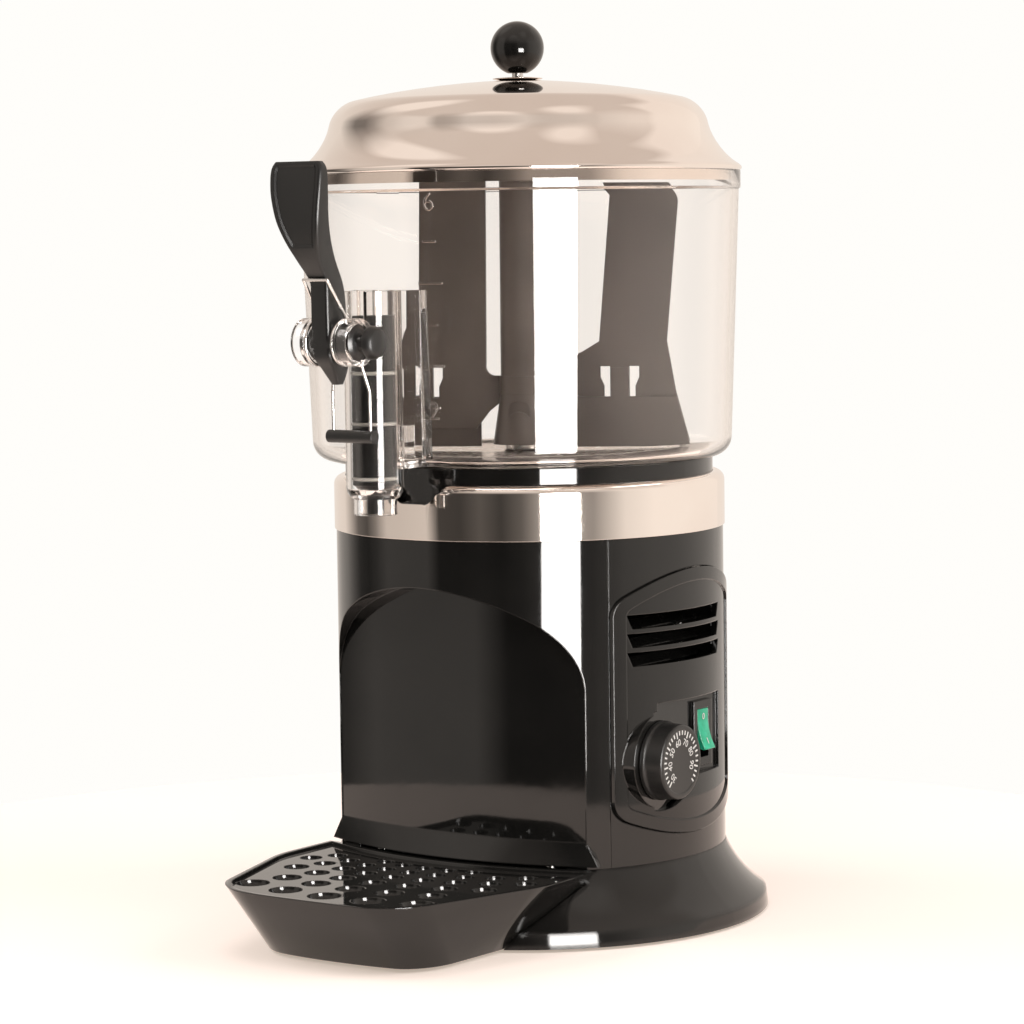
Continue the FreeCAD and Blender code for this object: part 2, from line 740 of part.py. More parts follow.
# Mains switch: a frame with its rocker
frame_plate = block("FramePlate", "facet_x", "switch_y - switch_frame_width / 2",
                    "switch_z - switch_frame_height / 2", "switch_frame_depth", "switch_frame_width",
                    "switch_frame_height")
frame_body = block("FrameBody", "facet_x - switch_body_depth", "switch_y - switch_frame_width / 2 + 2.2",
                   "switch_z - switch_frame_height / 2 + 2.2", "switch_body_depth + 0.5",
                   "switch_frame_width - 4.4", "switch_frame_height - 4.4")
rocker_well = block("RockerWell", "facet_x - 9", "switch_y - rocker_width / 2 - 0.3",
                    "switch_z - rocker_height / 2 - 2", "30", "rocker_width + 0.6", "rocker_height + 4")
finish("switch_frame", cut("SwitchFrame", joined("FrameSolid", frame_plate, frame_body), rocker_well))
rocker = pressed("Rocker", "XZ_Plane", [
    ("-4", "-6"), ("rocker_tip - 1.8", "-rocker_height / 2"), ("rocker_tip", "-rocker_height / 2"),
    ("rocker_tip - 2.6", "0"), ("rocker_tip", "rocker_height / 2"),
    ("rocker_tip - 1.8", "rocker_height / 2"), ("-4", "6")], "-switch_y - rocker_width / 2", "rocker_width")
rocker.Placement.Rotation = FreeCAD.Rotation(FreeCAD.Vector(0, 1, 0), -12)
place(rocker, "facet_x - rocker_pivot_depth", "0", "switch_z")
finish("rocker_switch", rocker)

# Steel band round the top of the drum, with a dip below the tap
shoulder_x = "(band_radius - band_shoulder)"
band = turned("Band", [
    ("band_radius - band_gauge", "body_top"), ("band_radius", "body_top"),
    ("band_radius", "band_top - band_shoulder", "band_shoulder", 1), (shoulder_x, "band_top"),
    (shoulder_x + " - 1", "band_top"), (shoulder_x + " - 1", "band_top - band_gauge"),
    (shoulder_x, "band_top - band_gauge", "band_shoulder - band_gauge", -1),
    ("band_radius - band_gauge", "band_top - band_shoulder")])
dip = pressed("Dip", "XZ_Plane", [("-dip_top_width / 2", "band_top + 1"),
                                  ("-dip_bottom_width / 2", "band_top - dip_depth"),
                                  ("dip_bottom_width / 2", "band_top - dip_depth"),
                                  ("dip_top_width / 2", "band_top + 1")], "70", "50")
finish("steel_band", cut("SteelBand", band, dip))

# Deck ring: it stands on the drum, fills the band and carries the bowl
deck_inner = "(body_inner - running_gap)"
band_inner = "(band_radius - band_gauge - running_gap)"
ring_form = turned("RingForm", [(deck_inner, "body_top"), (band_inner, "body_top"),
                                (band_inner, "band_top - dip_depth + 0.5"),
                                ("neck_radius", "band_top - dip_depth + 0.5"), ("neck_radius", "neck_top"),
                                ("0", "neck_top"), ("0", "neck_top - ring_depth"),
                                (deck_inner, "neck_top - ring_depth")])
ring_hole = rod("RingHole", "dish_radius + running_gap", "60", "0", "bowl_shift", "neck_top - 50")
ring_seat = rod("RingSeat", "bowl_throat_radius - 0.2", "10", "0", "bowl_shift", "neck_top - 2")
finish("deck_ring", cut("DeckRing", ring_form, ring_hole, ring_seat))

gasket_bottom = "neck_top - 2 + 0.2"
finish("bowl_gasket", turned("BowlGasket", [
    ("dish_radius + running_gap", gasket_bottom), ("bowl_throat_radius - 0.3", gasket_bottom),
    ("bowl_throat_radius - 0.3", "bowl_floor + bowl_floor_gauge - 0.6"),
    ("dish_radius + running_gap", "bowl_floor + bowl_floor_gauge")]), "bowl_y")

# Heated dish with the water tank, its element and the deck below
sleeve_in = "(dish_collar_radius - dish_gauge)"
finish("heating_dish", turned("HeatingDish", [
    (sleeve_in, "dish_top - dish_gauge"), ("dish_radius - dish_gauge", "dish_top - dish_gauge"),
    ("dish_radius - dish_gauge", "dish_top - dish_skirt"), ("dish_radius", "dish_top - dish_skirt"),
    ("dish_radius", "dish_top - dish_edge", "dish_edge", 1), ("dish_radius - dish_edge", "dish_top"),
    ("dish_collar_radius + dish_fillet", "dish_top", "dish_fillet", -1),
    ("dish_collar_radius", "dish_top + dish_fillet"), ("dish_collar_radius", "dish_collar_top"),
    (sleeve_in, "dish_collar_top")]), "bowl_y")
tank_radius = "(dish_radius - dish_gauge - 0.1)"
tank_inside = tank_radius + " - tank_gauge"
tank_floor_edge = tank_radius + " - tank_corner"
tank_form = turned("TankForm", [
    (sleeve_in, "tank_bottom"), (tank_floor_edge, "tank_bottom", "tank_corner", 1),
    (tank_radius, "tank_bottom + tank_corner"), (tank_radius, "dish_top - tank_drop"),
    (tank_inside, "dish_top - tank_drop"),
    (tank_inside, "tank_bottom + tank_corner", "tank_corner - tank_gauge", -1),
    (tank_floor_edge, "tank_bottom + tank_gauge"),
    (sleeve_in + " + tank_gauge", "tank_bottom + tank_gauge"),
    (sleeve_in + " + tank_gauge", "dish_top - dish_gauge - 0.1"),
    (sleeve_in, "dish_top - dish_gauge - 0.1")])
lead_y = "sqrt(heater_ring_radius ^ 2 - heater_lead_x ^ 2)"
lead_holes = [rod("LeadHole%d" % side, "heater_tube_radius + 0.3", "30", "%d * heater_lead_x" % side, lead_y,
                  "tank_bottom - 15") for side in (-1, 1)]
finish("water_tank", cut("WaterTank", tank_form, *lead_holes), "bowl_y")
heater_ring = new("Part::Torus", "HeaterRing")
bind(heater_ring, "Radius1", "heater_ring_radius")
bind(heater_ring, "Radius2", "heater_tube_radius")
place(heater_ring, "0", "0", "tank_bottom + heater_lift")
heater_gap = block("HeaterGap", "-heater_lead_x", "heater_ring_radius - 12",
                   "tank_bottom + heater_lift - 10", "2 * heater_lead_x", "24", "20")
leads = [rod("Lead%d" % side, "heater_tube_radius", "heater_lift + heater_lead_drop",
             "%d * heater_lead_x" % side, lead_y, "tank_bottom - heater_lead_drop") for side in (-1, 1)]
heater_arc = cut("HeaterArc", heater_ring, heater_gap)
finish("heating_element", joined("HeatingElement", heater_arc, *leads), "bowl_y")
finish("shaft_seal", turned("ShaftSeal", [
    ("shaft_radius + fit_gap", "dish_collar_top - 5"), (sleeve_in + " - 0.1", "dish_collar_top - 5"),
    (sleeve_in + " - 0.1", "dish_collar_top - 0.5"), ("shaft_radius + fit_gap + 1", "dish_collar_top - 0.5"),
    ("shaft_radius + fit_gap", "dish_collar_top - 1.5")]), "bowl_y")

deck = rod("Deck", "body_inner - running_gap", "deck_gauge", "0", "0", "deck_level")
deck_shaft = rod("DeckShaft", "12", "20", "0", "bowl_shift", "deck_level - 10")
deck_leads = block("DeckLeads", "-18", "bowl_shift + heater_ring_radius - 8", "deck_level - 10", "36",
                   "14", "20")
finish("tank_deck", cut("TankDeck", deck, deck_shaft, deck_leads))
tie_rods = [rod("TieRod%d" % index, "tie_rod_radius", "deck_level - seam_height",
                "%d * tie_rod_ring * cos(tie_rod_angle)" % side_x,
                "%d * tie_rod_ring * sin(tie_rod_angle)" % side_y, "seam_height")
            for index, (side_x, side_y) in enumerate(((1, 1), (-1, 1), (-1, -1), (1, -1)))]
finish("tie_rods", group("TieRods", tie_rods))

# Gearmotor and drive shaft
motor_top = "(deck_level - gearbox_height)"
gearbox = turned("Gearbox", [
    ("shaft_radius + fit_gap", motor_top + " + gear_socket"), ("shaft_radius + fit_gap", "deck_level - 0.1"),
    ("gearbox_radius", "deck_level - 0.1"), ("gearbox_radius", motor_top + " + 2"),
    ("gearbox_radius - 2", motor_top), ("0", motor_top), ("0", motor_top + " + gear_socket")])
finish("gearbox", gearbox, "bowl_y")
motor_foot = "(%s - motor_height)" % motor_top
finish("motor", turned("Motor", [
    ("0", motor_top), ("motor_radius", motor_top),
    ("motor_radius", motor_foot + " + motor_corner", "motor_corner", -1),
    ("motor_radius - motor_corner", motor_foot), ("motor_tail_radius", motor_foot),
    ("motor_tail_radius", motor_foot + " - motor_tail"), ("0", motor_foot + " - motor_tail")]), "bowl_y")
shaft_foot = motor_top + " + gear_socket + 0.5"
shaft_bar = turned("ShaftBar", [
    ("0", shaft_foot), ("shaft_radius", shaft_foot), ("shaft_radius", "shaft_top - 1"),
    ("shaft_radius - 1", "shaft_top"), ("0", "shaft_top")])
flat_a = block("FlatA", "shaft_radius * shaft_flat", "-10", "dish_collar_top + 1", "20", "20", "30")
flat_b = block("FlatB", "-shaft_radius * shaft_flat - 20", "-10", "dish_collar_top + 1", "20", "20", "30")
drive_shaft = cut("DriveShaft", shaft_bar, flat_a, flat_b)
bind(drive_shaft, "Placement.Rotation.Angle", "mixer_angle")
finish("drive_shaft", drive_shaft, "bowl_y")

# Mixer: a column on a splayed foot, with two wings, and a scraper behind each
hub_top = "(mixer_bottom + hub_height)"
collar_top = "(mixer_bottom + hub_height + collar_height)"
column = turned("Column", [
    ("0", "mixer_bottom"), ("hub_foot_radius", "mixer_bottom"), ("collar_radius - 0.4", hub_top),
    ("collar_radius", hub_top), ("collar_radius", collar_top), ("column_radius", collar_top),
    ("column_radius - 0.4", "mixer_top - 1.5"), ("column_radius - 1.9", "mixer_top"), ("0", "mixer_top")])
wing_base = "(mixer_bottom + 1)"
wing_core = "(column_radius / 2)"
step_z = "mixer_bottom + wing_step"
waist_z = "mixer_bottom + wing_waist_height"
waist_x = "mixer_reach - wing_waist"
far_wing = pressed("FarWing", "XZ_Plane", [
    (wing_core, wing_base), ("mixer_reach", wing_base), ("mixer_reach - wing_flare", step_z),
    (waist_x, waist_z), (waist_x + " + 6.3", "mixer_top - 10", "9", 1),
    (waist_x + " + 1.5", "mixer_top - 2"), (waist_x + " - wing_strip + 2.8", "mixer_top - 2"),
    (waist_x + " - wing_strip + 6.3", "mixer_top - 6"), (waist_x + " - wing_strip", waist_z),
    (waist_x + " - wing_strip - 9.2", waist_z + " - 5.5"), (wing_core, "mixer_bottom + 36")],
    "-blade_gauge / 2", "blade_gauge")
near_wing = pressed("NearWing", "XZ_Plane", [
    ("-" + wing_core, hub_top), ("-17", "mixer_bottom + 17"), ("-24", "mixer_bottom + 8"),
    ("-mixer_reach + 4", "mixer_bottom + 8"), ("-mixer_reach + wing_flare", step_z),
    ("-mixer_reach + wing_waist + 0.5", waist_z + " - 7"), ("-60", waist_z + " - 1"),
    ("-54", waist_z + " + 7"), ("-52.6", "mixer_top"), ("-52.6 + wing_strip - 0.4", "mixer_top"),
    ("-18.6", collar_top + " + 6", "5", 1), ("-14", collar_top), ("-" + wing_core, collar_top)],
    "-blade_gauge / 2", "blade_gauge")
windows = []
for side in (-1, 1):
    for hand in (-1, 1):
        near_x = "%d * (clip_x + %d * (clip_width / 2 + 0.4))" % (side, hand)
        far_x = near_x + " + %d * window_width" % (side * hand)
        notch_x = far_x + " - %d * window_notch" % (side * hand)
        low = "mixer_bottom + window_lift"
        outline = [(near_x, low), (near_x, low + " + window_height"), (far_x, low + " + window_height"),
                   (far_x, low + " + window_height - 5.6"), (notch_x, low + " + window_height - 10.2"),
                   (notch_x, low)]
        windows.append(pressed("Window%d" % len(windows), "XZ_Plane", outline[::-side * hand], "-10", "20"))
hub_window = pressed("HubWindow", "XZ_Plane", [
    ("-hub_window_half", hub_top + " - hub_window_low", "hub_window_half * 1.2", -1),
    ("hub_window_half", hub_top + " - hub_window_low"),
    ("hub_window_half", hub_top + " - hub_window_high", "hub_window_half * 1.6", 1),
    ("-hub_window_half", hub_top + " - hub_window_high")],
    "collar_radius + 0.8 - hub_window_depth", "hub_foot_radius")
hub_cavity = rod("HubCavity", "dish_collar_radius + 0.7", "20", "0", "0", "dish_collar_top + 1.4 - 20")
drive_socket = rod("DriveSocket", "shaft_radius + running_gap", "shaft_top - dish_collar_top + 2", "0", "0",
                   "dish_collar_top")
socket_key = block("SocketKey", "-shaft_radius * shaft_flat - running_gap", "-10", "dish_collar_top",
                   "2 * (shaft_radius * shaft_flat + running_gap)", "20", "shaft_top - dish_collar_top + 2")
mixer_solid = joined("MixerSolid", column, far_wing, near_wing)
mixer = cut("Mixer", mixer_solid, hub_cavity, shared("KeyedSocket", drive_socket, socket_key), hub_window,
            *windows)
scraper_low = "mixer_bottom - scraper_drop"
scraper_high = scraper_low + " + scraper_height"
scrapers = []
for side, name in ((1, "Far"), (-1, "Near")):
    root = "%d * scraper_root" % side
    reach = "%d * (mixer_reach + 0.5)" % side
    set_off = "%d * (blade_gauge / 2 + running_gap + scraper_gauge / 2) - scraper_gauge / 2"
    plate = pressed(name + "Scraper", "XZ_Plane", [
        (root, scraper_low), (reach, scraper_low), (reach + " - %d * scraper_slope" % side, scraper_high),
        (root, scraper_high)][::side], set_off % side, "scraper_gauge")
    tab = block(name + "Tab", "%d * clip_x - clip_width / 2" % side, set_off % -side, scraper_high + " - 1",
                "clip_width", "scraper_gauge", "window_height")
    scrapers.append(joined(name + "ScraperPlate", plate, tab))
for label, piece in (("mixer", mixer), ("scraper_blades", group("ScraperBlades", scrapers))):
    bind(piece, "Placement.Rotation.Angle", "mixer_angle")
    finish(label, piece, "bowl_y")


# Bowl: a drafted clear wall with an inward floor ring, and the tap's housing on its front
def bowl_form(name, inset, bottom, top):
    """The bowl's wall as a solid frustum, at a depth below its surface."""
    foot = "(bowl_bottom_radius - %s)" % inset
    rim = "(bowl_rim_radius - 0.8 - %s)" % inset
    corner = "(bowl_corner - %s)" % inset
    return turned(name, [("0", bottom), (foot + " - " + corner, bottom, corner + " * 1.02", 1),
                         (foot + " + " + corner + " * 0.04", bottom + " + " + corner), (rim, top),
                         ("0", top)])


bowl_outside = bowl_form("BowlOutside", "0", "bowl_floor", "bowl_rim_top")
rim_band = rod("RimBand", "bowl_rim_radius", "bowl_rim_band", "0", "bowl_shift",
               "bowl_rim_top - bowl_rim_band")
bowl_inside = bowl_form("BowlInside", "bowl_wall", "bowl_floor + bowl_floor_gauge", "bowl_rim_top + 0.5")
throat = rod("Throat", "bowl_throat_radius", "20", "0", "bowl_shift", "bowl_floor - 10")
for piece in (bowl_outside, bowl_inside):
    place(piece, "0", "bowl_shift")
port = block("Port", "-port_width / 2", "tap_y", "bowl_floor + bowl_floor_gauge + 1", "port_width", "40",
             "port_height")
finish("bowl", cut("Bowl", joined("BowlSolid", bowl_outside, rim_band), bowl_inside, throat, port))

housing_form = turned("HousingForm", [
    ("0", "nozzle_bottom"), ("nozzle_radius", "nozzle_bottom"), ("nozzle_radius", "tap_bottom"),
    ("tap_radius - 3", "tap_bottom", "8", 1), ("tap_radius", "tap_bottom + 7"), ("tap_radius", "tap_top"),
    ("0", "tap_top")])
tap_well = turned("TapWell", [
    ("0", "nozzle_bottom - 1"), ("nozzle_radius - nozzle_wall", "nozzle_bottom - 1"),
    ("nozzle_radius - nozzle_wall", "tap_bottom + 3"), ("tap_bore", "tap_bottom + 5"),
    ("tap_bore", "tap_top + 1"), ("0", "tap_top + 1")])
for piece in (housing_form, tap_well):
    place(piece, "0", "tap_y")
pad_front = "(bowl_shift - bowl_bottom_radius - 7)"
pad = block("Pad", "-pad_width / 2", pad_front, "bowl_floor + 6", "pad_width", "20",
            "tap_top - bowl_floor - 6")
duct = block("Duct", "-tap_radius - 1.6", "tap_y + 1.5", "bowl_floor + 2", "2 * tap_radius + 3.2", "22",
             "port_height + 11")
ear_rings = rod("EarRings", "ear_radius", "2 * ear_outer_x", "-ear_outer_x", "pin_y", "pin_z", "X")
ear_arms = block("EarArms", "-ear_inner_x - 3.5", "pin_y", "pin_z - 7", "2 * ear_inner_x + 7",
                 "lever_arm - 2", "14")
ear_bores = [rod("EarBoreRight", "ear_bore", "20", "0", "pin_y", "pin_z", "X"),
             rod("EarBoreLeft", "ear_bore", "20", "-ear_inner_x - 23", "pin_y", "pin_z", "X"),
             rod("PinBore", "pin_radius + fit_gap", "40", "-30", "pin_y", "pin_z", "X")]
lever_room = block("LeverRoom", "-ear_inner_x", "pin_y - ear_radius - 1", "pin_z - 20", "2 * ear_inner_x",
                   "ear_radius + 1 + lever_arm - tap_radius - 1", "40")
finger_slot = block("FingerSlot", "-lever_finger_radius - 1.2", "tap_y - tap_radius - 8",
                    "pin_z - lever_finger_radius - 1.2", "2 * (lever_finger_radius + 1.2)",
                    "tap_radius + 8", "60")
bowl_keep = bowl_form("BowlKeep", "-0.02", "bowl_floor", "bowl_rim_top")
place(bowl_keep, "0", "bowl_shift")
housing_solid = joined("HousingSolid", housing_form, pad, duct, ear_rings, ear_arms)
housing = cut("Housing", housing_solid, bowl_keep, tap_well, lever_room, finger_slot, *ear_bores)
finish("tap_housing", cut("TapHousing", housing, port))

# Piston with its seals
piston_radius = "(tap_bore - piston_clearance)"
seal_levels = ("tap_bottom + 10", "tap_bottom + 37", "tap_bottom + 62")
piston_form = turned("PistonForm", [
    ("0", "nozzle_bottom + 0.4"), ("4.2", "nozzle_bottom + 0.4"), ("4.2", "tap_bottom + 4"),
    (piston_radius + " - 2", "tap_bottom + 5.4"), (piston_radius, "tap_bottom + 7"),
    (piston_radius, "piston_top"), (piston_radius + " - 2", "piston_top"),
    (piston_radius + " - 2", "pin_z + 7"), ("0", "pin_z + 7")])
grooves = []
for index, level in enumerate(seal_levels):
    groove_disc = rod("GrooveDisc%d" % index, "tap_bore + 2", "2.2", "0", "0", level + " - 1.1")
    groove_core = rod("GrooveCore%d" % index, piston_radius + " - 1.7", "4", "0", "0", level + " - 2")
    grooves.append(cut("Groove%d" % index, groove_disc, groove_core))
finger_window = block("FingerWindow", "-lever_finger_radius - 1", "-tap_bore - 2",
                      "pin_z - lever_finger_radius - 0.7", "2 * (lever_finger_radius + 1)",
                      "tap_bore + 2 + lever_finger_radius + 1", "2 * (lever_finger_radius + 0.7)")
window_mouth = block("WindowMouth", "-lever_finger_radius - 1", "-tap_bore - 2",
                     "pin_z - lever_finger_radius - 7", "2 * (lever_finger_radius + 1)", "tap_bore - 3",
                     "lever_finger_radius + 7")
finish("tap_piston", cut("TapPiston", piston_form, finger_window, window_mouth, *grooves), "axis_y + tap_y")
seals = []
for index, level in enumerate(seal_levels):
    seal = new("Part::Torus", "Seal%d" % index)
    bind(seal, "Radius1", "tap_bore - fit_gap - seal_radius")
    bind(seal, "Radius2", "seal_radius")
    seals.append(place(seal, "0", "0", level))
finish("piston_seals", group("PistonSeals", seals), "axis_y + tap_y")

# Lever pin, lever and return spring
pin_head_radius = "(ear_bore - fit_gap)"
pin = turned("Pin", [
    ("0", "-ear_outer_x"), ("pin_radius - 0.6", "-ear_outer_x"), ("pin_radius", "-ear_outer_x + 1"),
    ("pin_radius", "ear_inner_x + 0.6"), (pin_head_radius, "ear_inner_x + 0.6"),
    (pin_head_radius, "ear_outer_x - 1.5"), ("ear_bore - 2.5", "ear_outer_x + 0.5"),
    ("pin_neck_radius", "ear_outer_x + 1.5"), ("pin_neck_radius", "ear_outer_x + 6"),
    ("pin_knob_radius", "ear_outer_x + 7.2", "6", 1),
    ("pin_face_radius", "ear_outer_x + 11.6", "(pin_face_radius ^ 2 + 1.4 ^ 2) / 2.8", 1),
    ("0", "ear_outer_x + 13")])
pin.Placement.Rotation = FreeCAD.Rotation(FreeCAD.Vector(0, 1, 0), 90)
place(pin, "0", "0", "pin_z")
finish("lever_pin", pin, "axis_y + pin_y")

# The widest station is as wide as the blade, and the others are shares of it
WIDEST = 31.0
# Height above the pin, front and back reach from the pin, and width
LEVER_STATIONS = [
    (-20.0, 2.6, 4.6, 8.0),
    (-8.0, 9.4, 6.2, 10.8),
    (8.0, 10.2, 5.6, 10.8),
    (22.0, 10.4, 4.6, 10.8),
    (30.0, 11.0, 2.4, 10.8),
    (39.5, 18.2, -4.6, 13.8),
    (48.5, 23.2, -11.4, 19.6),
    (58.5, 26.6, -16.6, 25.2),
    (70.0, 27.7, -19.4, 29.6),
    (80.0, 27.0, -20.2, 31.0),
    (87.5, 25.4, -21.0, 27.0),
]


def lever_section(index, rise, front, back, width):
    """One rounded rectangle of the lever, level with the counter."""
    body = new_body("LeverSection%d" % index)
    half = "(lever_blade_width * %s / 2)" % (width / WIDEST) if width > 20 else "(%s / 2)" % width
    corners = [
        (half + " - lever_edge", "-%s" % front, "lever_edge", 1), (half, "-%s + lever_edge" % front),
        (half, "%s - lever_edge" % back, "lever_edge", 1), (half + " - lever_edge", back),
        ("-%s + lever_edge" % half, back, "lever_edge", 1), ("-" + half, "%s - lever_edge" % back),
        ("-" + half, "-%s + lever_edge" % front, "lever_edge", 1),
        ("-%s + lever_edge" % half, "-%s" % front)]
    return draw(body, "XY_Plane", corners, "pin_z + %s" % rise)


# Height above the pin, reach of the blade's face, depth below it, and width
SCOOP_STATIONS = [
    (46.0, 22.2, -0.4, 11.0),
    (58.5, 26.6, 0.8, 19.0),
    (70.0, 27.7, 1.2, 23.6),
    (80.0, 27.0, 1.2, 24.4),
    (85.0, 26.0, 1.1, 22.6),
]


def scoop_section(index, rise, front, depth, width):
    """One rectangle of the hollow in the blade's face."""
    body = new_body("ScoopSection%d" % index)
    half = "(lever_blade_width * %s / 2 - scoop_border + 2.2)" % (width / WIDEST)
    outer, inner = "-%s" % (front + 6.0), "-%s" % (front - depth)
    corners = [(half, outer), (half, inner), ("-" + half, inner), ("-" + half, outer)]
    return draw(body, "XY_Plane", corners, "pin_z + %s" % rise)


blade = new("Part::Loft", "LeverBlade")
blade.Sections = [lever_section(index, *station) for index, station in enumerate(LEVER_STATIONS)]
blade.Solid = True
blade.Ruled = False
scoop = new("Part::Loft", "Scoop")
scoop.Sections = [scoop_section(index, *station) for index, station in enumerate(SCOOP_STATIONS)]
scoop.Solid = True
scoop.Ruled = False
hub = rod("LeverHub", "lever_hub_radius", "2 * ear_inner_x - 3.6", "-ear_inner_x + 1.8", "0", "pin_z", "X")
journal = rod("LeverJournal", "lever_hub_radius - 1.2", "2 * (ear_inner_x - running_gap)",
              "-ear_inner_x + running_gap", "0", "pin_z", "X")
finger_arm = block("FingerArm", "-lever_finger_radius", "0", "pin_z - 2.6", "2 * lever_finger_radius",
                   "lever_arm", "5.2")
finger = rod("Finger", "lever_finger_radius", "2 * lever_finger_radius", "-lever_finger_radius", "lever_arm",
             "pin_z", "X")
lever_bore = rod("LeverBore", "pin_radius + fit_gap", "60", "-30", "0", "pin_z", "X")
lever_solid = joined("LeverSolid", cut("ScoopedBlade", blade, scoop), hub, journal, finger_arm, finger)
finish("tap_lever", cut("TapLever", lever_solid, lever_bore), "axis_y + pin_y")


def wire(path, radius):
    """A round wire bent through a list of points."""
    solids = [Part.makeCylinder(radius, (b - a).Length, a, b - a) for a, b in zip(path, path[1:])]
    solids += [Part.makeSphere(radius, point) for point in path]
    return solids


def spring_shape():
    """A bail across the lever, a coil round each journal and a leg down to the sleeve."""
    radius = value("spring_wire_radius")
    coil = value("spring_coil_radius")
    pin_level = value("pin_z")
    coil_x = value("ear_inner_x - 0.95")
    bail = FreeCAD.Vector(value("lever_stem_width / 2 + 1.8"), value("-bail_reach"), value("bail_z"))
    foot = FreeCAD.Vector(value("sleeve_length / 2 - 2.6"),
                          value("tap_y - tap_radius - sleeve_radius - pin_y - 0.5"), value("sleeve_z"))
    solids = []
    for side in (-1, 1):
        middle = FreeCAD.Vector(side * coil_x, 0, pin_level)
        ring = Part.makeTorus(coil, radius, middle, FreeCAD.Vector(1, 0, 0))
        top = FreeCAD.Vector(side * coil_x, 1.5, pin_level + coil * math.cos(math.asin(1.5 / coil)))
        back = FreeCAD.Vector(side * coil_x, coil, pin_level)
        under_arm = FreeCAD.Vector(side * coil_x, coil, pin_level - 9)
        knee = FreeCAD.Vector(side * foot.x, foot.y - 0.2, foot.z + 22)
        low = FreeCAD.Vector(side * foot.x, foot.y, foot.z)
        solids += [ring] + wire([FreeCAD.Vector(side * bail.x, bail.y, bail.z), top], radius)
        solids += wire([back, under_arm, knee, low], radius)
    solids += wire([FreeCAD.Vector(-bail.x, bail.y, bail.z), bail], radius)
    solids += wire([FreeCAD.Vector(-foot.x, foot.y, foot.z), foot], radius)
    return solids[0].multiFuse(solids[1:])


spring = new("Part::Feature", "LeverSpring")
spring.Shape = spring_shape()
finish("lever_spring", spring, "axis_y + pin_y")
sleeve_y = "(tap_y - tap_radius - sleeve_radius - 0.5)"
sleeve_tube = rod("SleeveTube", "sleeve_radius", "sleeve_length", "-sleeve_length / 2", sleeve_y,
                  "sleeve_z", "X")
sleeve_hole = rod("SleeveHole", "spring_wire_radius + 0.1", "sleeve_length - 4", "-sleeve_length / 2 + 2",
                  sleeve_y, "sleeve_z", "X")
leg_slots = [block("LegSlot%d" % side, "%d * (sleeve_length / 2 - 2.6) - 1" % side, sleeve_y + " - 1",
                   "sleeve_z - 1", "2", "2", "6") for side in (-1, 1)]
finish("spring_sleeve", cut("SpringSleeve", sleeve_tube, sleeve_hole, *leg_slots))


# Lid: spun steel, with its ball knob
def lid_form(name, inset, bottom):
    """The lid's flared and domed form at a depth below its surface."""
    shoulder = "(lid_shoulder_radius + 4.7 - %s)" % inset
    crown = "(lid_shoulder_radius - 7 - %s)" % inset
    top = "(lid_bottom + lid_height - %s)" % inset
    crown_z = "(lid_bottom + lid_height - crown_rise - %s)" % inset
    bulge = "(%s ^ 2 + crown_rise ^ 2) / (2 * crown_rise)" % crown
    return turned(name, [
        ("0", bottom), ("bowl_rim_radius - %s" % inset, bottom),
        ("bowl_rim_radius - %s" % inset, "lid_bottom + 1.2", "39 + %s" % inset, -1),
        (shoulder, "lid_bottom + 25.5", "17 - %s" % inset, 1), (crown, crown_z, bulge, 1), ("0", top)])


lid_outside = lid_form("LidOutside", "0", "lid_bottom")
lid_inside = lid_form("LidInside", "lid_gauge", "lid_bottom - 1")
locating_ring = wall("LocatingRing", "bowl_rim_radius - 0.8 - bowl_wall - 0.5", "lid_gauge",
                     "lid_bottom - 6", "lid_bottom + 3.2")
screw_hole = rod("LidHole", "lid_hole_radius", "60", "0", "0", "lid_bottom + 10")
lid_solid = joined("LidSolid", cut("LidShell", lid_outside, lid_inside), locating_ring)
finish("lid", cut("Lid", lid_solid, screw_hole), "bowl_y")
finish("knob_washer", turned("KnobWasher", [
    ("lid_hole_radius", "crown_top"), ("washer_radius * 0.4", "crown_top"),
    ("washer_radius", "crown_top + washer_gauge * 0.6"),
    ("washer_radius", "crown_top + washer_gauge * 0.75"),
    ("washer_radius * 0.5", "crown_top + washer_gauge"),
    ("lid_hole_radius", "crown_top + washer_gauge")]), "bowl_y")
knob_ball = turned("KnobBall", [
    ("0", "knob_low"), ("knob_flat_radius", "knob_low", "knob_radius", 1),
    ("knob_radius", "knob_centre", "knob_radius", 1), ("0", "knob_centre + knob_radius")])
knob_socket = rod("KnobSocket", "3", "12", "0", "0", "knob_low - 2")
finish("lid_knob", cut("LidKnob", knob_ball, knob_socket), "bowl_y")
stud = rod("Stud", "stud_radius", "knob_low - crown_top + 9.4", "0", "0", "crown_top - lid_gauge - 1")
stud_head = rod("StudHead", "stud_head_radius", "stud_head_height", "0", "0",
                "crown_top - lid_gauge - stud_head_height - 0.6")
finish("knob_screw", joined("KnobScrew", stud, stud_head), "bowl_y")

# Drip tray and its grid
deck_edge = rod("DeckEdge", "skirt_radius + 3", "80", "0", "skirt_centre_y", "0")
tray_outside = tray_form("TrayOutside", "0", "tray_bottom", "tray_top", "tray_taper")
ledge = "grid_top - grid_gauge"
tray_room = tray_form("TrayRoom", "-tray_wall", ledge, "tray_top + 1", "0")
tray_hollow = tray_form("TrayHollow", "-tray_wall - 2.5", "tray_bottom + tray_wall", ledge + " - 1.5",
                        "tray_taper - 2", "1")
tray_throat = tray_form("TrayThroat", "-tray_wall - 2.5", ledge + " - 1.6", ledge + " + 0.1", "1", "0")
finish("drip_tray", cut("DripTray", tray_outside, tray_hollow, cut("TrayMouth", joined(
    "TrayMouthForm", tray_room, tray_throat), deck_edge)))

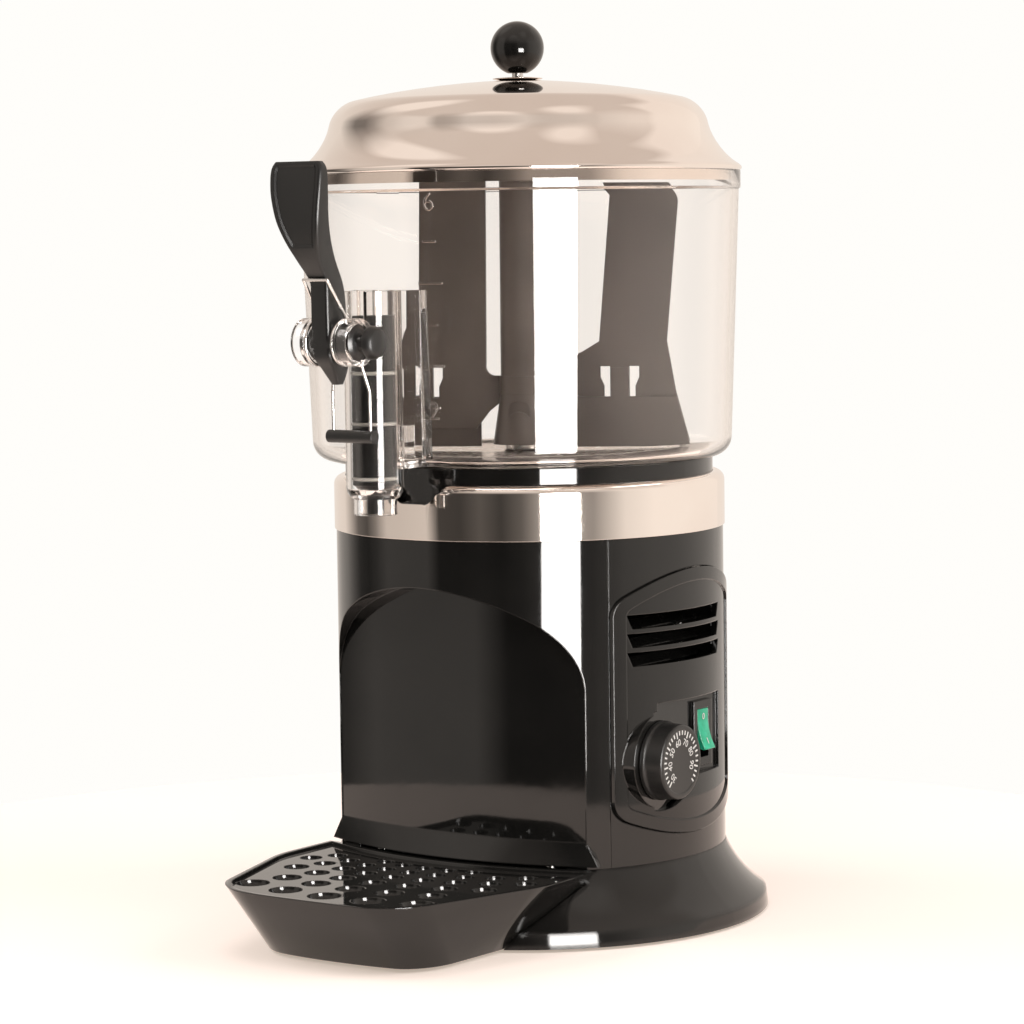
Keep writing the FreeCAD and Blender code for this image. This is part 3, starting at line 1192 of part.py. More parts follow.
grid_edge = rod("GridEdge", "skirt_radius + 3 + running_gap", "80", "0", "skirt_centre_y", "0")
grid_plate = tray_form("GridPlate", "-tray_wall - running_gap", ledge, "grid_top", "0.4", "0")
GRID_RINGS = 6
RING_RATIO = 1.13
HOLE_SHARE = 0.043
HOLE_STEP = 8.2
holes = []
for ring in range(GRID_RINGS):
    ring_radius = (value("tray_front") - value("grid_border")) / RING_RATIO ** ring
    for step in range(-4, 5):
        angle = math.radians(step * HOLE_STEP)
        x, y = ring_radius * math.sin(angle), -ring_radius * math.cos(angle)
        hole_radius = ring_radius * HOLE_SHARE
        inside = abs(x) < value("tray_half_width") - 9 - hole_radius + min(0, y + value("tray_bend")) * 0.26
        edge_y = value("skirt_centre_y") - math.sqrt((value("skirt_radius") + 5.5) ** 2 - x * x)
        if not inside or y + hole_radius > edge_y:
            continue
        ball_radius = "((%s ^ 2 + dimple_depth ^ 2) / (2 * dimple_depth))" % hole_radius
        dimple = new("Part::Sphere", "Dimple")
        bind(dimple, "Radius", ball_radius)
        holes.append(place(dimple, str(x), str(y), "grid_top - dimple_depth + " + ball_radius))
        holes.append(rod("Drain", "drain_radius", "grid_gauge + 2", str(x), str(y), ledge + " - 1"))
finish("tray_grid", cut("TrayGrid", cut("GridBlank", grid_plate, grid_edge), *holes))

# Wiring pieces inside the drum and the cord's gland at the back
terminal_body = block("TerminalBody", "-terminal_width / 2", "terminal_y", "seam_height", "terminal_width",
                      "terminal_depth", "terminal_height")
finish("terminal_block", group("TerminalBlock", [terminal_body]))
cutout_can = rod("CutoutCan", "cutout_radius", "cutout_height", "cutout_x", "cutout_y",
                 "deck_level - cutout_height")
finish("overheat_cutout", group("OverheatCutout", [cutout_can]))
gland = turned("Gland", [
    ("gland_bore", "-shell_wall - 4"), ("gland_flange_radius", "-shell_wall - 4"),
    ("gland_flange_radius", "-shell_wall - 0.8"), ("gland_neck_radius", "-shell_wall - 0.8"),
    ("gland_neck_radius", "0.4"), ("gland_flange_radius", "0.4"), ("gland_flange_radius", "2.4"),
    ("gland_flange_radius - 1.5", "3.6"), ("6", "gland_length"), ("gland_bore", "gland_length")])
gland.Placement.Rotation = FreeCAD.Rotation(FreeCAD.Vector(1, 0, 0), -90)
place(gland, "0", "0", "cord_level")
finish("cord_gland", gland, "axis_y + body_radius")

doc.recompute()
faults = [item.Label for item in doc.Objects if "Invalid" in item.State or "Error" in item.State]
faults += [piece.Label for piece in PARTS if piece.Shape.isNull() or not piece.Shape.isValid()]
if faults:
    raise RuntimeError("not built: " + ", ".join(faults))

os.makedirs("parts", exist_ok=True)
for piece in PARTS:
    piece.Shape.exportStep("parts/%s.step" % piece.Label)
print(len(PARTS), "pieces written")
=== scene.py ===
# %% [markdown]
# A hot chocolate dispenser, dressed in Blender. The solids come in as a fixed frame in metres. The lid, knob,
# bowl, band, dial, rocker, lever, tray and grid are modelled again here with finer edges, so that gloss and
# mirror finishes catch the light.

# %% Load the frame
import bpy
import bmesh
import math
from mathutils import Matrix, Vector


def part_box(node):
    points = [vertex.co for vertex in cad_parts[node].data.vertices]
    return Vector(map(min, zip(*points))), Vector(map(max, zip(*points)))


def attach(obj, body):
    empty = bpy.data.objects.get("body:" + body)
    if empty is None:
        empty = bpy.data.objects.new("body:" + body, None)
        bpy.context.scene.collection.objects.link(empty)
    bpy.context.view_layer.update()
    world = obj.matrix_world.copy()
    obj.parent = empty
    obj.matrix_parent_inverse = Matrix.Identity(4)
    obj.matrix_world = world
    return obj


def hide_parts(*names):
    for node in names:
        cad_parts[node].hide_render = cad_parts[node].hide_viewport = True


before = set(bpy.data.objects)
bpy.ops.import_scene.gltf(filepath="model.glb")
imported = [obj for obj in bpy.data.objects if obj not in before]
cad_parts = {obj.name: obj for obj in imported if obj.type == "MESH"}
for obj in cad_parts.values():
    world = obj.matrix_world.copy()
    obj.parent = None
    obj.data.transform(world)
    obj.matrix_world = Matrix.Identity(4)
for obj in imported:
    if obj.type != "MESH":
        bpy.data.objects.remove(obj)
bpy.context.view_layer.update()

MM = 0.001


def centre_of(node):
    """The middle of a solid, in millimetres."""
    low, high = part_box(node)
    return (Vector(low) + Vector(high)) / (2 * MM)


def top_of(node):
    """The highest level of a solid, in millimetres."""
    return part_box(node)[1][2] / MM


def foot_of(node):
    """The lowest level of a solid, in millimetres."""
    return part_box(node)[0][2] / MM


BODY_AXIS = Vector((0, centre_of("steel_band").y, 0))
BOWL_AXIS = Vector((0, centre_of("lid_knob").y, 0))
TAP_AXIS = Vector((0, centre_of("tap_piston").y, 0))
print("body axis", round(BODY_AXIS.y, 1), "bowl axis", round(BOWL_AXIS.y, 1),
      "tap axis", round(TAP_AXIS.y, 1))

# %% [markdown]
# Most of this machine is round, so most pieces start as a short chain of corners. A corner is rounded by a
# vertex bevel, and the chain is spun round the axis. That keeps each outline down to a few points.

# %% Chains, lathe and plates
ROUND_STEPS = 8
LATHE_STEPS = 160
FINE_STEPS = 256


def chain(bm, corners, lay, closed):
    """Edges through corners (a, b, cut-back), each corner rounded over its cut-back."""
    points = [bm.verts.new(lay(corner[0], corner[1])) for corner in corners]
    pairs = list(zip(points, points[1:]))
    if closed:
        pairs.append((points[-1], points[0]))
    for pair in pairs:
        bm.edges.new(pair)
    for point, corner in zip(points, corners):
        if len(corner) > 2:
            bmesh.ops.bevel(bm, geom=[point], offset=corner[2], offset_type="OFFSET", segments=ROUND_STEPS,
                            profile=0.5, affect="VERTICES", material=-1)


def lathe(corners, closed=True, steps=LATHE_STEPS):
    """A turned form about the vertical axis, from (radius, level) corners."""
    bm = bmesh.new()
    chain(bm, corners, lambda radius, level: (radius, 0, level), closed)
    bmesh.ops.spin(bm, geom=bm.verts[:] + bm.edges[:], cent=(0, 0, 0), axis=(0, 0, 1), dvec=(0, 0, 0),
                   angle=math.tau, steps=steps, use_merge=True, use_normal_flip=False, use_duplicate=False)
    bmesh.ops.remove_doubles(bm, verts=bm.verts[:], dist=0.001)
    bmesh.ops.recalc_face_normals(bm, faces=bm.faces[:])
    return bm


def drum(radius, low, high, steps=LATHE_STEPS):
    """A plain round block about the vertical axis."""
    return lathe([(0, low), (radius, low), (radius, high), (0, high)], closed=False, steps=steps)


def plate(corners, lay, push):
    """A flat outline pushed along a vector into a closed block."""
    bm = bmesh.new()
    chain(bm, corners, lay, True)
    made = bmesh.ops.contextual_create(bm, geom=bm.edges[:] + bm.verts[:])
    grown = bmesh.ops.extrude_face_region(bm, geom=made["faces"], use_keep_orig=True)
    moved = [item for item in grown["geom"] if isinstance(item, bmesh.types.BMVert)]
    bmesh.ops.translate(bm, verts=moved, vec=push)
    bmesh.ops.recalc_face_normals(bm, faces=bm.faces[:])
    return bm


def slab(low, high):
    """A block between two corners."""
    bm = bmesh.new()
    bmesh.ops.create_cube(bm, size=1)
    size = Vector(high) - Vector(low)
    bmesh.ops.scale(bm, verts=bm.verts[:], vec=size)
    bmesh.ops.translate(bm, verts=bm.verts[:], vec=(Vector(low) + Vector(high)) / 2)
    return bm


def as_mesh(form, name="working"):
    """A form as a mesh. The form itself is let go."""
    mesh = bpy.data.meshes.new(name)
    form.to_mesh(mesh)
    form.free()
    return mesh


def combined(first, second, how):
    """One form with another added or cut away."""
    makers = []
    for form in (first, second):
        maker = bpy.data.objects.new("working", as_mesh(form))
        bpy.context.scene.collection.objects.link(maker)
        makers.append(maker)
    step = makers[0].modifiers.new("join", "BOOLEAN")
    step.object = makers[1]
    step.operation = how
    step.solver = "EXACT"
    ready = makers[0].evaluated_get(bpy.context.evaluated_depsgraph_get())
    result = bmesh.new()
    result.from_mesh(ready.to_mesh())
    for maker in makers:
        bpy.data.meshes.remove(maker.data)
    bmesh.ops.remove_doubles(result, verts=result.verts[:], dist=0.0005)
    return result


def round_edges(bm, width, segments=2, sharper=0.6, choose=None):
    """Round the sharp edges, or those of them that a rule picks."""
    bmesh.ops.dissolve_degenerate(bm, edges=bm.edges[:], dist=0.001)
    picked = [edge for edge in bm.edges if len(edge.link_faces) == 2 and edge.calc_face_angle(0) > sharper]
    if choose:
        picked = [edge for edge in picked if choose(edge)]
    bmesh.ops.bevel(bm, geom=picked, offset=width, offset_type="OFFSET", segments=segments, profile=0.5,
                    affect="EDGES", material=-1, clamp_overlap=True)
    return bm


def settle(name, bm, finish, body, nodes=(), centre=Vector((0, 0, 0)), crease=35):
    """Make a form a finished piece: in metres, in place, shaded, painted and riding on its body."""
    bmesh.ops.translate(bm, verts=bm.verts[:], vec=centre)
    bmesh.ops.scale(bm, verts=bm.verts[:], vec=(MM, MM, MM))
    mesh = as_mesh(bm, name)
    mesh.shade_smooth()
    mesh.set_sharp_from_angle(angle=math.radians(crease))
    mesh.materials.append(finish)
    piece = bpy.data.objects.new(name, mesh)
    bpy.context.scene.collection.objects.link(piece)
    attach(piece, body)
    if nodes:
        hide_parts(*nodes)
    print("made", name, "with", len(mesh.polygons), "faces")
    return piece


# %% [markdown]
# Every finish is a Principled shader with its own small irregularities: moulded plastic has a faint ripple
# in its gloss, spun steel has cloudy patches, and moulded grain is a tiny bump. Noise on Object coordinates
# gives them, so a pattern stays on its piece when the piece moves.

# %% Helpers for finishes
def new_finish(name, colour, roughness, metallic=0.0, ior=1.5):
    """A Principled material and its parts."""
    finish = bpy.data.materials.new(name)
    finish.use_nodes = True
    shader = finish.node_tree.nodes["Principled BSDF"]
    shader.inputs["Base Color"].default_value = (*colour, 1)
    shader.inputs["Roughness"].default_value = roughness
    shader.inputs["Metallic"].default_value = metallic
    shader.inputs["IOR"].default_value = ior
    return finish, finish.node_tree, shader


def noise(tree, scale, detail=3.0, stretch=(1, 1, 1)):
    """Noise on the piece's own coordinates."""
    place = tree.nodes.new("ShaderNodeTexCoord")
    turn = tree.nodes.new("ShaderNodeMapping")
    turn.inputs["Scale"].default_value = stretch
    cloud = tree.nodes.new("ShaderNodeTexNoise")
    cloud.inputs["Scale"].default_value = scale
    cloud.inputs["Detail"].default_value = detail
    tree.links.new(place.outputs["Object"], turn.inputs["Vector"])
    tree.links.new(turn.outputs["Vector"], cloud.inputs["Vector"])
    return cloud


def uneven(tree, shader, socket, scale, low, high, stretch=(1, 1, 1)):
    """Let a number wander between two values over the surface."""
    cloud = noise(tree, scale, 4.0, stretch)
    span = tree.nodes.new("ShaderNodeMapRange")
    span.inputs["From Min"].default_value = 0.3
    span.inputs["From Max"].default_value = 0.7
    span.inputs["To Min"].default_value = low
    span.inputs["To Max"].default_value = high
    tree.links.new(cloud.outputs["Fac"], span.inputs["Value"])
    tree.links.new(span.outputs["Result"], shader.inputs[socket])


def ripple(tree, shader, scale, depth, stretch=(1, 1, 1), detail=2.0, edge=0.0):
    """A fine relief, with its depth in metres, and moulded edges that shade as if rounded."""
    cloud = noise(tree, scale, detail, stretch)
    relief = tree.nodes.new("ShaderNodeBump")
    relief.inputs["Strength"].default_value = 1.0
    relief.inputs["Distance"].default_value = depth
    tree.links.new(cloud.outputs["Fac"], relief.inputs["Height"])
    if edge:
        rounding = tree.nodes.new("ShaderNodeBevel")
        rounding.samples = 4
        rounding.inputs["Radius"].default_value = edge
        tree.links.new(rounding.outputs["Normal"], relief.inputs["Normal"])
    tree.links.new(relief.outputs["Normal"], shader.inputs["Normal"])


def tinted(tree, shader, scale, first, second):
    """Let the colour wander between two close tones."""
    cloud = noise(tree, scale, 3.0)
    ramp = tree.nodes.new("ShaderNodeValToRGB")
    ramp.color_ramp.elements[0].position = 0.35
    ramp.color_ramp.elements[1].position = 0.65
    ramp.color_ramp.elements[0].color = (*first, 1)
    ramp.color_ramp.elements[1].color = (*second, 1)
    tree.links.new(cloud.outputs["Fac"], ramp.inputs["Fac"])
    tree.links.new(ramp.outputs["Color"], shader.inputs["Base Color"])


# %% Opaque plastics and rubbers
gloss_black, tree, shader = new_finish("gloss_black", (0.011, 0.0105, 0.010), 0.05, ior=1.52)
tinted(tree, shader, 30, (0.006, 0.0058, 0.0054), (0.009, 0.0085, 0.0078))
uneven(tree, shader, "Roughness", 45, 0.03, 0.065)
ripple(tree, shader, 60, 0.00002, edge=0.0009)

foot_black, tree, shader = new_finish("foot_black", (0.008, 0.0077, 0.0072), 0.05, ior=1.52)
tinted(tree, shader, 30, (0.006, 0.0058, 0.0054), (0.009, 0.0085, 0.0078))
uneven(tree, shader, "Roughness", 45, 0.03, 0.065)
ripple(tree, shader, 60, 0.00002, edge=0.0035)

satin_black, tree, shader = new_finish("satin_black", (0.010, 0.0095, 0.009), 0.34)
tinted(tree, shader, 40, (0.008, 0.0076, 0.0072), (0.013, 0.0122, 0.0114))
uneven(tree, shader, "Roughness", 80, 0.28, 0.40)
ripple(tree, shader, 2600, 0.000012, edge=0.0008)

mixer_brown, tree, shader = new_finish("mixer_brown", (0.095, 0.078, 0.067), 0.34)
tinted(tree, shader, 25, (0.100, 0.082, 0.071), (0.130, 0.107, 0.093))
uneven(tree, shader, "Roughness", 60, 0.28, 0.40)
ripple(tree, shader, 1800, 0.00001, edge=0.0006)

rubber_black, tree, shader = new_finish("rubber_black", (0.014, 0.014, 0.014), 0.7)
tinted(tree, shader, 60, (0.011, 0.011, 0.011), (0.020, 0.019, 0.018))
ripple(tree, shader, 1500, 0.00003)

seal_rubber, tree, shader = new_finish("seal_rubber", (0.45, 0.42, 0.38), 0.45)
tinted(tree, shader, 120, (0.42, 0.39, 0.35), (0.50, 0.47, 0.43))

mark_white, tree, shader = new_finish("mark_white", (0.80, 0.79, 0.76), 0.5)
tinted(tree, shader, 900, (0.72, 0.71, 0.68), (0.86, 0.85, 0.82))
print("plastics and rubbers ready")

# %% Metals
mirror_steel, tree, shader = new_finish("mirror_steel", (0.90, 0.83, 0.78), 0.05, metallic=1.0)
tinted(tree, shader, 12, (0.88, 0.80, 0.745), (0.93, 0.865, 0.815))
uneven(tree, shader, "Roughness", 18, 0.03, 0.075)
ripple(tree, shader, 14, 0.00025, detail=1.0)

plain_steel, tree, shader = new_finish("plain_steel", (0.72, 0.70, 0.68), 0.25, metallic=1.0)
uneven(tree, shader, "Roughness", 150, 0.18, 0.32)
ripple(tree, shader, 400, 0.00002)

motor_grey, tree, shader = new_finish("motor_grey", (0.42, 0.42, 0.43), 0.38, metallic=1.0)
uneven(tree, shader, "Roughness", 90, 0.30, 0.50)

copper_tube, tree, shader = new_finish("copper_tube", (0.80, 0.44, 0.30), 0.3, metallic=1.0)
uneven(tree, shader, "Roughness", 110, 0.22, 0.42)
print("metals ready")

# %% Clear and coloured plastics
clear_bowl, tree, shader = new_finish("clear_bowl", (0.99, 0.962, 0.942), 0.0, ior=1.45)
shader.inputs["Transmission Weight"].default_value = 1.0
uneven(tree, shader, "Roughness", 20, 0.0, 0.012)
ripple(tree, shader, 9, 0.00005, detail=1.0)

clear_tap, tree, shader = new_finish("clear_tap", (1.0, 0.985, 0.975), 0.0, ior=1.45)
shader.inputs["Transmission Weight"].default_value = 1.0
uneven(tree, shader, "Roughness", 60, 0.0, 0.02)
ripple(tree, shader, 40, 0.00004, detail=1.0, edge=0.0007)

switch_green, tree, shader = new_finish("switch_green", (0.02, 0.50, 0.28), 0.22)
tinted(tree, shader, 200, (0.015, 0.44, 0.24), (0.03, 0.58, 0.34))
shader.inputs["Transmission Weight"].default_value = 0.15
shader.inputs["Subsurface Weight"].default_value = 0.2
shader.inputs["Subsurface Radius"].default_value = (0.002, 0.004, 0.003)
print("clear and coloured plastics ready")

# %% [markdown]
# The plinth, the drum with all that is inside it, the tap's housing and the small fittings are right as
# solids, so they keep their meshes and get a finish each. A table of finish to nodes keeps that in one place.

# %% Finishes of the solids that stay
KEPT = {
    foot_black: ["base_plinth"],
    gloss_black: ["front_cover", "rear_cover", "control_panel", "vent_slats", "deck_ring",
                  "switch_frame", "cord_gland"],
    satin_black: ["tap_piston", "lever_pin", "terminal_block", "thermostat", "spring_sleeve"],
    mixer_brown: ["mixer", "scraper_blades"],
    rubber_black: ["rubber_feet"],
    seal_rubber: ["bowl_gasket", "shaft_seal", "piston_seals"],
    plain_steel: ["heating_dish", "bottom_plate", "bottom_screws", "water_tank", "heating_element",
                  "drive_shaft", "dial_spindle", "lever_spring", "knob_screw", "tank_deck", "tie_rods"],
    motor_grey: ["gearbox", "motor"],
    copper_tube: ["overheat_cutout"],
    clear_tap: ["tap_housing"],
}
for finish, nodes in KEPT.items():
    for node in nodes:
        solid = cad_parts[node]
        solid.data.materials.clear()
        solid.data.materials.append(finish)
print("painted", sum(len(nodes) for nodes in KEPT.values()), "solids")

# %% [markdown]
# The lid is spun from one sheet: a flared skirt, a tight shoulder and a shallow crown. Three rounded
# corners of a chain give that outline, and a wall is added inside it.

# %% Lid
LID_GAUGE = 0.9
LID_LIP = 0.9
SKIRT_INSET = 13.7
SKIRT_RISE = 9.8
SHOULDER_INSET = 20.2
SHOULDER_DROP = 12
CROWN_SHARE = 0.378
RING_INSET = 4.3
RING_GAUGE = 1.0
lid_foot = top_of("bowl") + 0.3
lid_top = top_of("lid")
lid_radius = (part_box("lid")[1][0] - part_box("lid")[0][0]) / (2 * MM)
lid_form = lathe([
    (lid_radius - 2.2, lid_foot + 0.5, 0.3),
    (lid_radius - LID_LIP, lid_foot, 0.5),
    (lid_radius, lid_foot + LID_LIP, 0.5),
    (lid_radius - LID_LIP, lid_foot + 1.9, 0.8),
    (lid_radius - SKIRT_INSET, lid_foot + SKIRT_RISE, 13.4),
    (lid_radius - SHOULDER_INSET, lid_top - SHOULDER_DROP, 9.2),
    (lid_radius * CROWN_SHARE, lid_top, 42.6),
    (0, lid_top)], closed=False, steps=FINE_STEPS)
bmesh.ops.solidify(lid_form, geom=lid_form.faces[:], thickness=-LID_GAUGE)
bmesh.ops.recalc_face_normals(lid_form, faces=lid_form.faces[:])
ring_outer = lid_radius - RING_INSET
ring_inner = ring_outer - RING_GAUGE
ring_wall = lathe([(ring_inner, lid_foot - 6), (ring_outer, lid_foot - 6),
                   (ring_outer, lid_foot + 2), (ring_inner, lid_foot + 2)])
lid_form.from_mesh(as_mesh(ring_wall))
settle("lid_shell", lid_form, mirror_steel, "lid", ["lid"], BOWL_AXIS)

# %% Washer and knob
SCREW_HOLE = 3.2
washer_foot = foot_of("knob_washer")
washer_top = top_of("knob_washer")
washer_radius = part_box("knob_washer")[1][0] / MM
washer = lathe([
    (SCREW_HOLE, washer_foot),
    (washer_radius * 0.4, washer_foot),
    (washer_radius, washer_top - 1.0, 0.3),
    (washer_radius, washer_top - 0.6, 0.3),
    (washer_radius * 0.5, washer_top, 2.0),
    (SCREW_HOLE, washer_top)])
settle("washer", washer, mirror_steel, "lid", ["knob_washer"], BOWL_AXIS)

knob_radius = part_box("lid_knob")[1][0] / MM
knob_centre = top_of("lid_knob") - knob_radius
knob = bmesh.new()
bmesh.ops.create_uvsphere(knob, u_segments=96, v_segments=64, radius=knob_radius)
flat_level = foot_of("lid_knob") - knob_centre
bmesh.ops.bisect_plane(knob, geom=knob.verts[:] + knob.edges[:] + knob.faces[:],
                       plane_co=(0, 0, flat_level), plane_no=(0, 0, 1), clear_inner=True)
bmesh.ops.holes_fill(knob, edges=[edge for edge in knob.edges if edge.is_boundary], sides=0)
settle("knob_ball", knob, gloss_black, "lid", ["lid_knob"],
       BOWL_AXIS + Vector((0, 0, knob_centre)))

# %% [markdown]
# The bowl is moulded in one piece of clear plastic with a drafted wall, a soft bottom corner and a thicker
# rim band. A closed outline gives both faces of the wall, because light bends at each of them.

# %% Bowl
bowl_foot = foot_of("bowl")
bowl_top = top_of("bowl")
rim_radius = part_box("bowl")[1][0] / MM
BOWL_WALL = 3.0
BOWL_FLOOR = 3.5
THROAT = 86.2
RIM_BAND = 9.2
FOOT_INSET = 5.9
WALL_INSET = 0.9
bowl_form = lathe([
    (THROAT, bowl_foot, 0.8),
    (rim_radius - FOOT_INSET, bowl_foot, 9.5),
    (rim_radius - WALL_INSET, bowl_top - RIM_BAND - 0.6, 0.4),
    (rim_radius, bowl_top - RIM_BAND, 0.4),
    (rim_radius, bowl_top, 0.7),
    (rim_radius - 0.8 - BOWL_WALL, bowl_top, 0.9),
    (rim_radius - FOOT_INSET - BOWL_WALL, bowl_foot + BOWL_FLOOR, 6.5),
    (THROAT, bowl_foot + BOWL_FLOOR, 0.8)], steps=FINE_STEPS)
outlet = slab((-6, -125, bowl_foot + 4.5), (6, -90, bowl_foot + 14.5))
bowl_form = combined(bowl_form, outlet, "DIFFERENCE")
settle("bowl_shell", bowl_form, clear_bowl, "bowl", ["bowl"], BOWL_AXIS)

# %% [markdown]
# The steel band is a rolled strip with a turned-in top edge. A slanted dip at the front clears the nozzle.

# %% Steel band
band_foot = foot_of("steel_band")
band_top = top_of("steel_band")
band_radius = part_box("steel_band")[1][0] / MM
BAND_GAUGE = 1.0
BAND_FOLD = 6
DIP_MOUTH = 20.5
DIP_FLOOR = 8.5
DIP_DEPTH = 10
band_form = lathe([
    (band_radius - BAND_GAUGE, band_foot),
    (band_radius, band_foot, 0.3),
    (band_radius, band_top, 5.0),
    (band_radius - BAND_FOLD, band_top, 0.3),
    (band_radius - BAND_FOLD, band_top - BAND_GAUGE),
    (band_radius - BAND_GAUGE, band_top - BAND_GAUGE, 4.0)], steps=FINE_STEPS)
dip = plate([(-DIP_MOUTH, band_top + 1), (-DIP_FLOOR, band_top - DIP_DEPTH, 1.5),
             (DIP_FLOOR, band_top - DIP_DEPTH, 1.5), (DIP_MOUTH, band_top + 1)],
            lambda across, level: (across, -70, level), (0, -50, 0))
band_form = combined(band_form, dip, "DIFFERENCE")
settle("band_ring", band_form, mirror_steel, "base", ["steel_band"], BODY_AXIS)

# %% [markdown]
# The dial is a turned knob with a printed face. The digits are text made into thin meshes, and the ticks
# are small blocks set round the face by a loop.

# %% Dial
dial_low, dial_high = (Vector(corner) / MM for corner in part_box("thermostat_dial"))
dial_middle = (dial_low + dial_high) / 2
DIAL_FLANGE = 0.8
FACE_SINK = 0.25
dial_radius = (dial_high.y - dial_low.y) / 2 - DIAL_FLANGE
dial_length = dial_high.x - dial_low.x
ABOUT_X = Matrix.Rotation(math.pi / 2, 3, "Y")
dial_form = lathe([
    (0, 0),
    (dial_radius + DIAL_FLANGE, 0, 0.4),
    (dial_radius + DIAL_FLANGE, 2.0, 0.4),
    (dial_radius, 3.2, 0.8),
    (dial_radius - 0.5, dial_length, 1.1),
    (dial_radius - 3.2, dial_length, 0.2),
    (dial_radius - 3.5, dial_length - FACE_SINK, 0.1),
    (0, dial_length - FACE_SINK)], closed=False)
bmesh.ops.rotate(dial_form, verts=dial_form.verts[:], cent=(0, 0, 0), matrix=ABOUT_X)
dial_place = Vector((dial_low.x, dial_middle.y, dial_middle.z))
settle("dial_knob", dial_form, satin_black, "dial", ["thermostat_dial"], dial_place)

FACE = dial_high.x - FACE_SINK
TICKS = 28
TICK_STEP = 10
TICKS_PER_NUMBER = 4
FIRST_MARK = 135
marks = bmesh.new()
for index in range(TICKS):
    long_tick = index % TICKS_PER_NUMBER == 0
    tick = slab((-0.02, -0.44, dial_radius - 5.6 - 1.2 * long_tick), (0.1, 0.44, dial_radius - 3.2))
    bmesh.ops.rotate(tick, verts=tick.verts[:], cent=(0, 0, 0),
                     matrix=Matrix.Rotation(math.radians(FIRST_MARK - TICK_STEP * index), 3, "X"))
    marks.from_mesh(as_mesh(tick))


def lettered(text, size, thick=0.06):
    """A flat word as a thin form, facing +X, centred on its own middle."""
    curve = bpy.data.curves.new("letters", "FONT")
    curve.body = text
    curve.size = size
    curve.align_x = "CENTER"
    curve.align_y = "CENTER"
    curve.extrude = thick
    holder = bpy.data.objects.new("letters", curve)
    bpy.context.scene.collection.objects.link(holder)
    bpy.context.view_layer.update()
    mesh = bpy.data.meshes.new_from_object(holder.evaluated_get(bpy.context.evaluated_depsgraph_get()))
    bpy.data.objects.remove(holder)
    turn = Matrix(((0, 0, 1), (1, 0, 0), (0, 1, 0)))
    mesh.transform(turn.to_4x4())
    return mesh


for index, number in enumerate(("30", "40", "50", "60", "70", "80", "90")):
    mesh = lettered(number, 4.9)
    turn = math.radians(FIRST_MARK - TICK_STEP * TICKS_PER_NUMBER * index)
    mesh.transform(Matrix.Translation((0, 0, dial_radius - 9.4)))
    mesh.transform(Matrix.Rotation(turn, 4, "X"))
    marks.from_mesh(mesh)
settle("dial_marks", marks, mark_white, "dial", centre=Vector((FACE, dial_middle.y, dial_middle.z)))

# %% [markdown]
# The rocker is a bar of translucent green with a hollow face and two raised ends. It carries 0 and I.

# %% Rocker
rocker_low, rocker_high = (Vector(corner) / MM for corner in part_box("rocker_switch"))
rocker_middle = (rocker_low + rocker_high) / 2
rocker_width = rocker_high.y - rocker_low.y
PIVOT_X = 95.5
KEY_HALF = 10.6
TILT = Matrix.Rotation(math.radians(-12), 3, "Y")
rocker = plate([(-4, -6, 1), (4.2, -KEY_HALF, 0.6), (6, -KEY_HALF, 0.8), (3.4, 0, 7),
                (6, KEY_HALF, 0.8), (4.2, KEY_HALF, 0.6), (-4, 6, 1)],
               lambda out, level: (out, -rocker_width / 2, level), (0, rocker_width, 0))
round_edges(rocker, 0.5, 3, 1.0)
bmesh.ops.rotate(rocker, verts=rocker.verts[:], cent=(0, 0, 0), matrix=TILT)
rocker_place = Vector((PIVOT_X, rocker_middle.y, rocker_middle.z))
settle("rocker_key", rocker, switch_green, "rocker", ["rocker_switch"], rocker_place)

SYMBOL_LEAN = 0.24
SYMBOL_OUT = 5.3
SYMBOL_LEVEL = 6.4
symbols = bmesh.new()
for text, side in (("0", 1), ("I", -1)):
    mesh = lettered(text, 4.6)
    mesh.transform(Matrix.Rotation(SYMBOL_LEAN * side, 4, "Y"))
    mesh.transform(Matrix.Translation((SYMBOL_OUT, 0, SYMBOL_LEVEL * side)))
    symbols.from_mesh(mesh)
bmesh.ops.rotate(symbols, verts=symbols.verts[:], cent=(0, 0, 0), matrix=TILT)
settle("rocker_marks", symbols, mark_white, "rocker", centre=rocker_place)

# %% [markdown]
# The lever is a bent bar whose section changes all the way: a narrow tail, a square stem and a wide blade.
# Its sections are rounded rectangles, blended smoothly along its height and bridged. The blade gets a hollow.

# %% Tap lever
# Rise above the pin, reach to the front, reach to the back, and width
LEVER_SECTIONS = [
    (-20.5, -1.0, 6.0, 4.4), (-13, 4.2, 7.4, 8.4), (-6, 9.2, 6.6, 10.8), (8, 10.2, 5.6, 10.8),
    (22, 10.4, 4.6, 10.8), (30, 11.2, 2.2, 11.2), (39.5, 18.2, -4.6, 14.4), (48.5, 23.2, -11.4, 20.2),
    (58.5, 26.6, -16.6, 25.8), (70, 27.7, -19.4, 29.8), (79, 27.2, -20.2, 31.0), (84, 26.4, -20.6, 30.2),
    (87, 25.8, -21.0, 26.4)]
EDGE_ROUND = 1.6
BLENDS = 5
BLADE_FOOT = 44
BLADE_PIECE = 12
BLADE_RIM = 1.2
BLADE_HOLLOW = 1.1
HUB_RADIUS = 10
HUB_HALF = 7.2
JOURNAL_RADIUS = 8.8
JOURNAL_HALF = 8.7
ARM_HALF = 2.6
FINGER = 3.5
PIN_AXIS = centre_of("lever_pin")
lever_top = top_of("tap_lever")


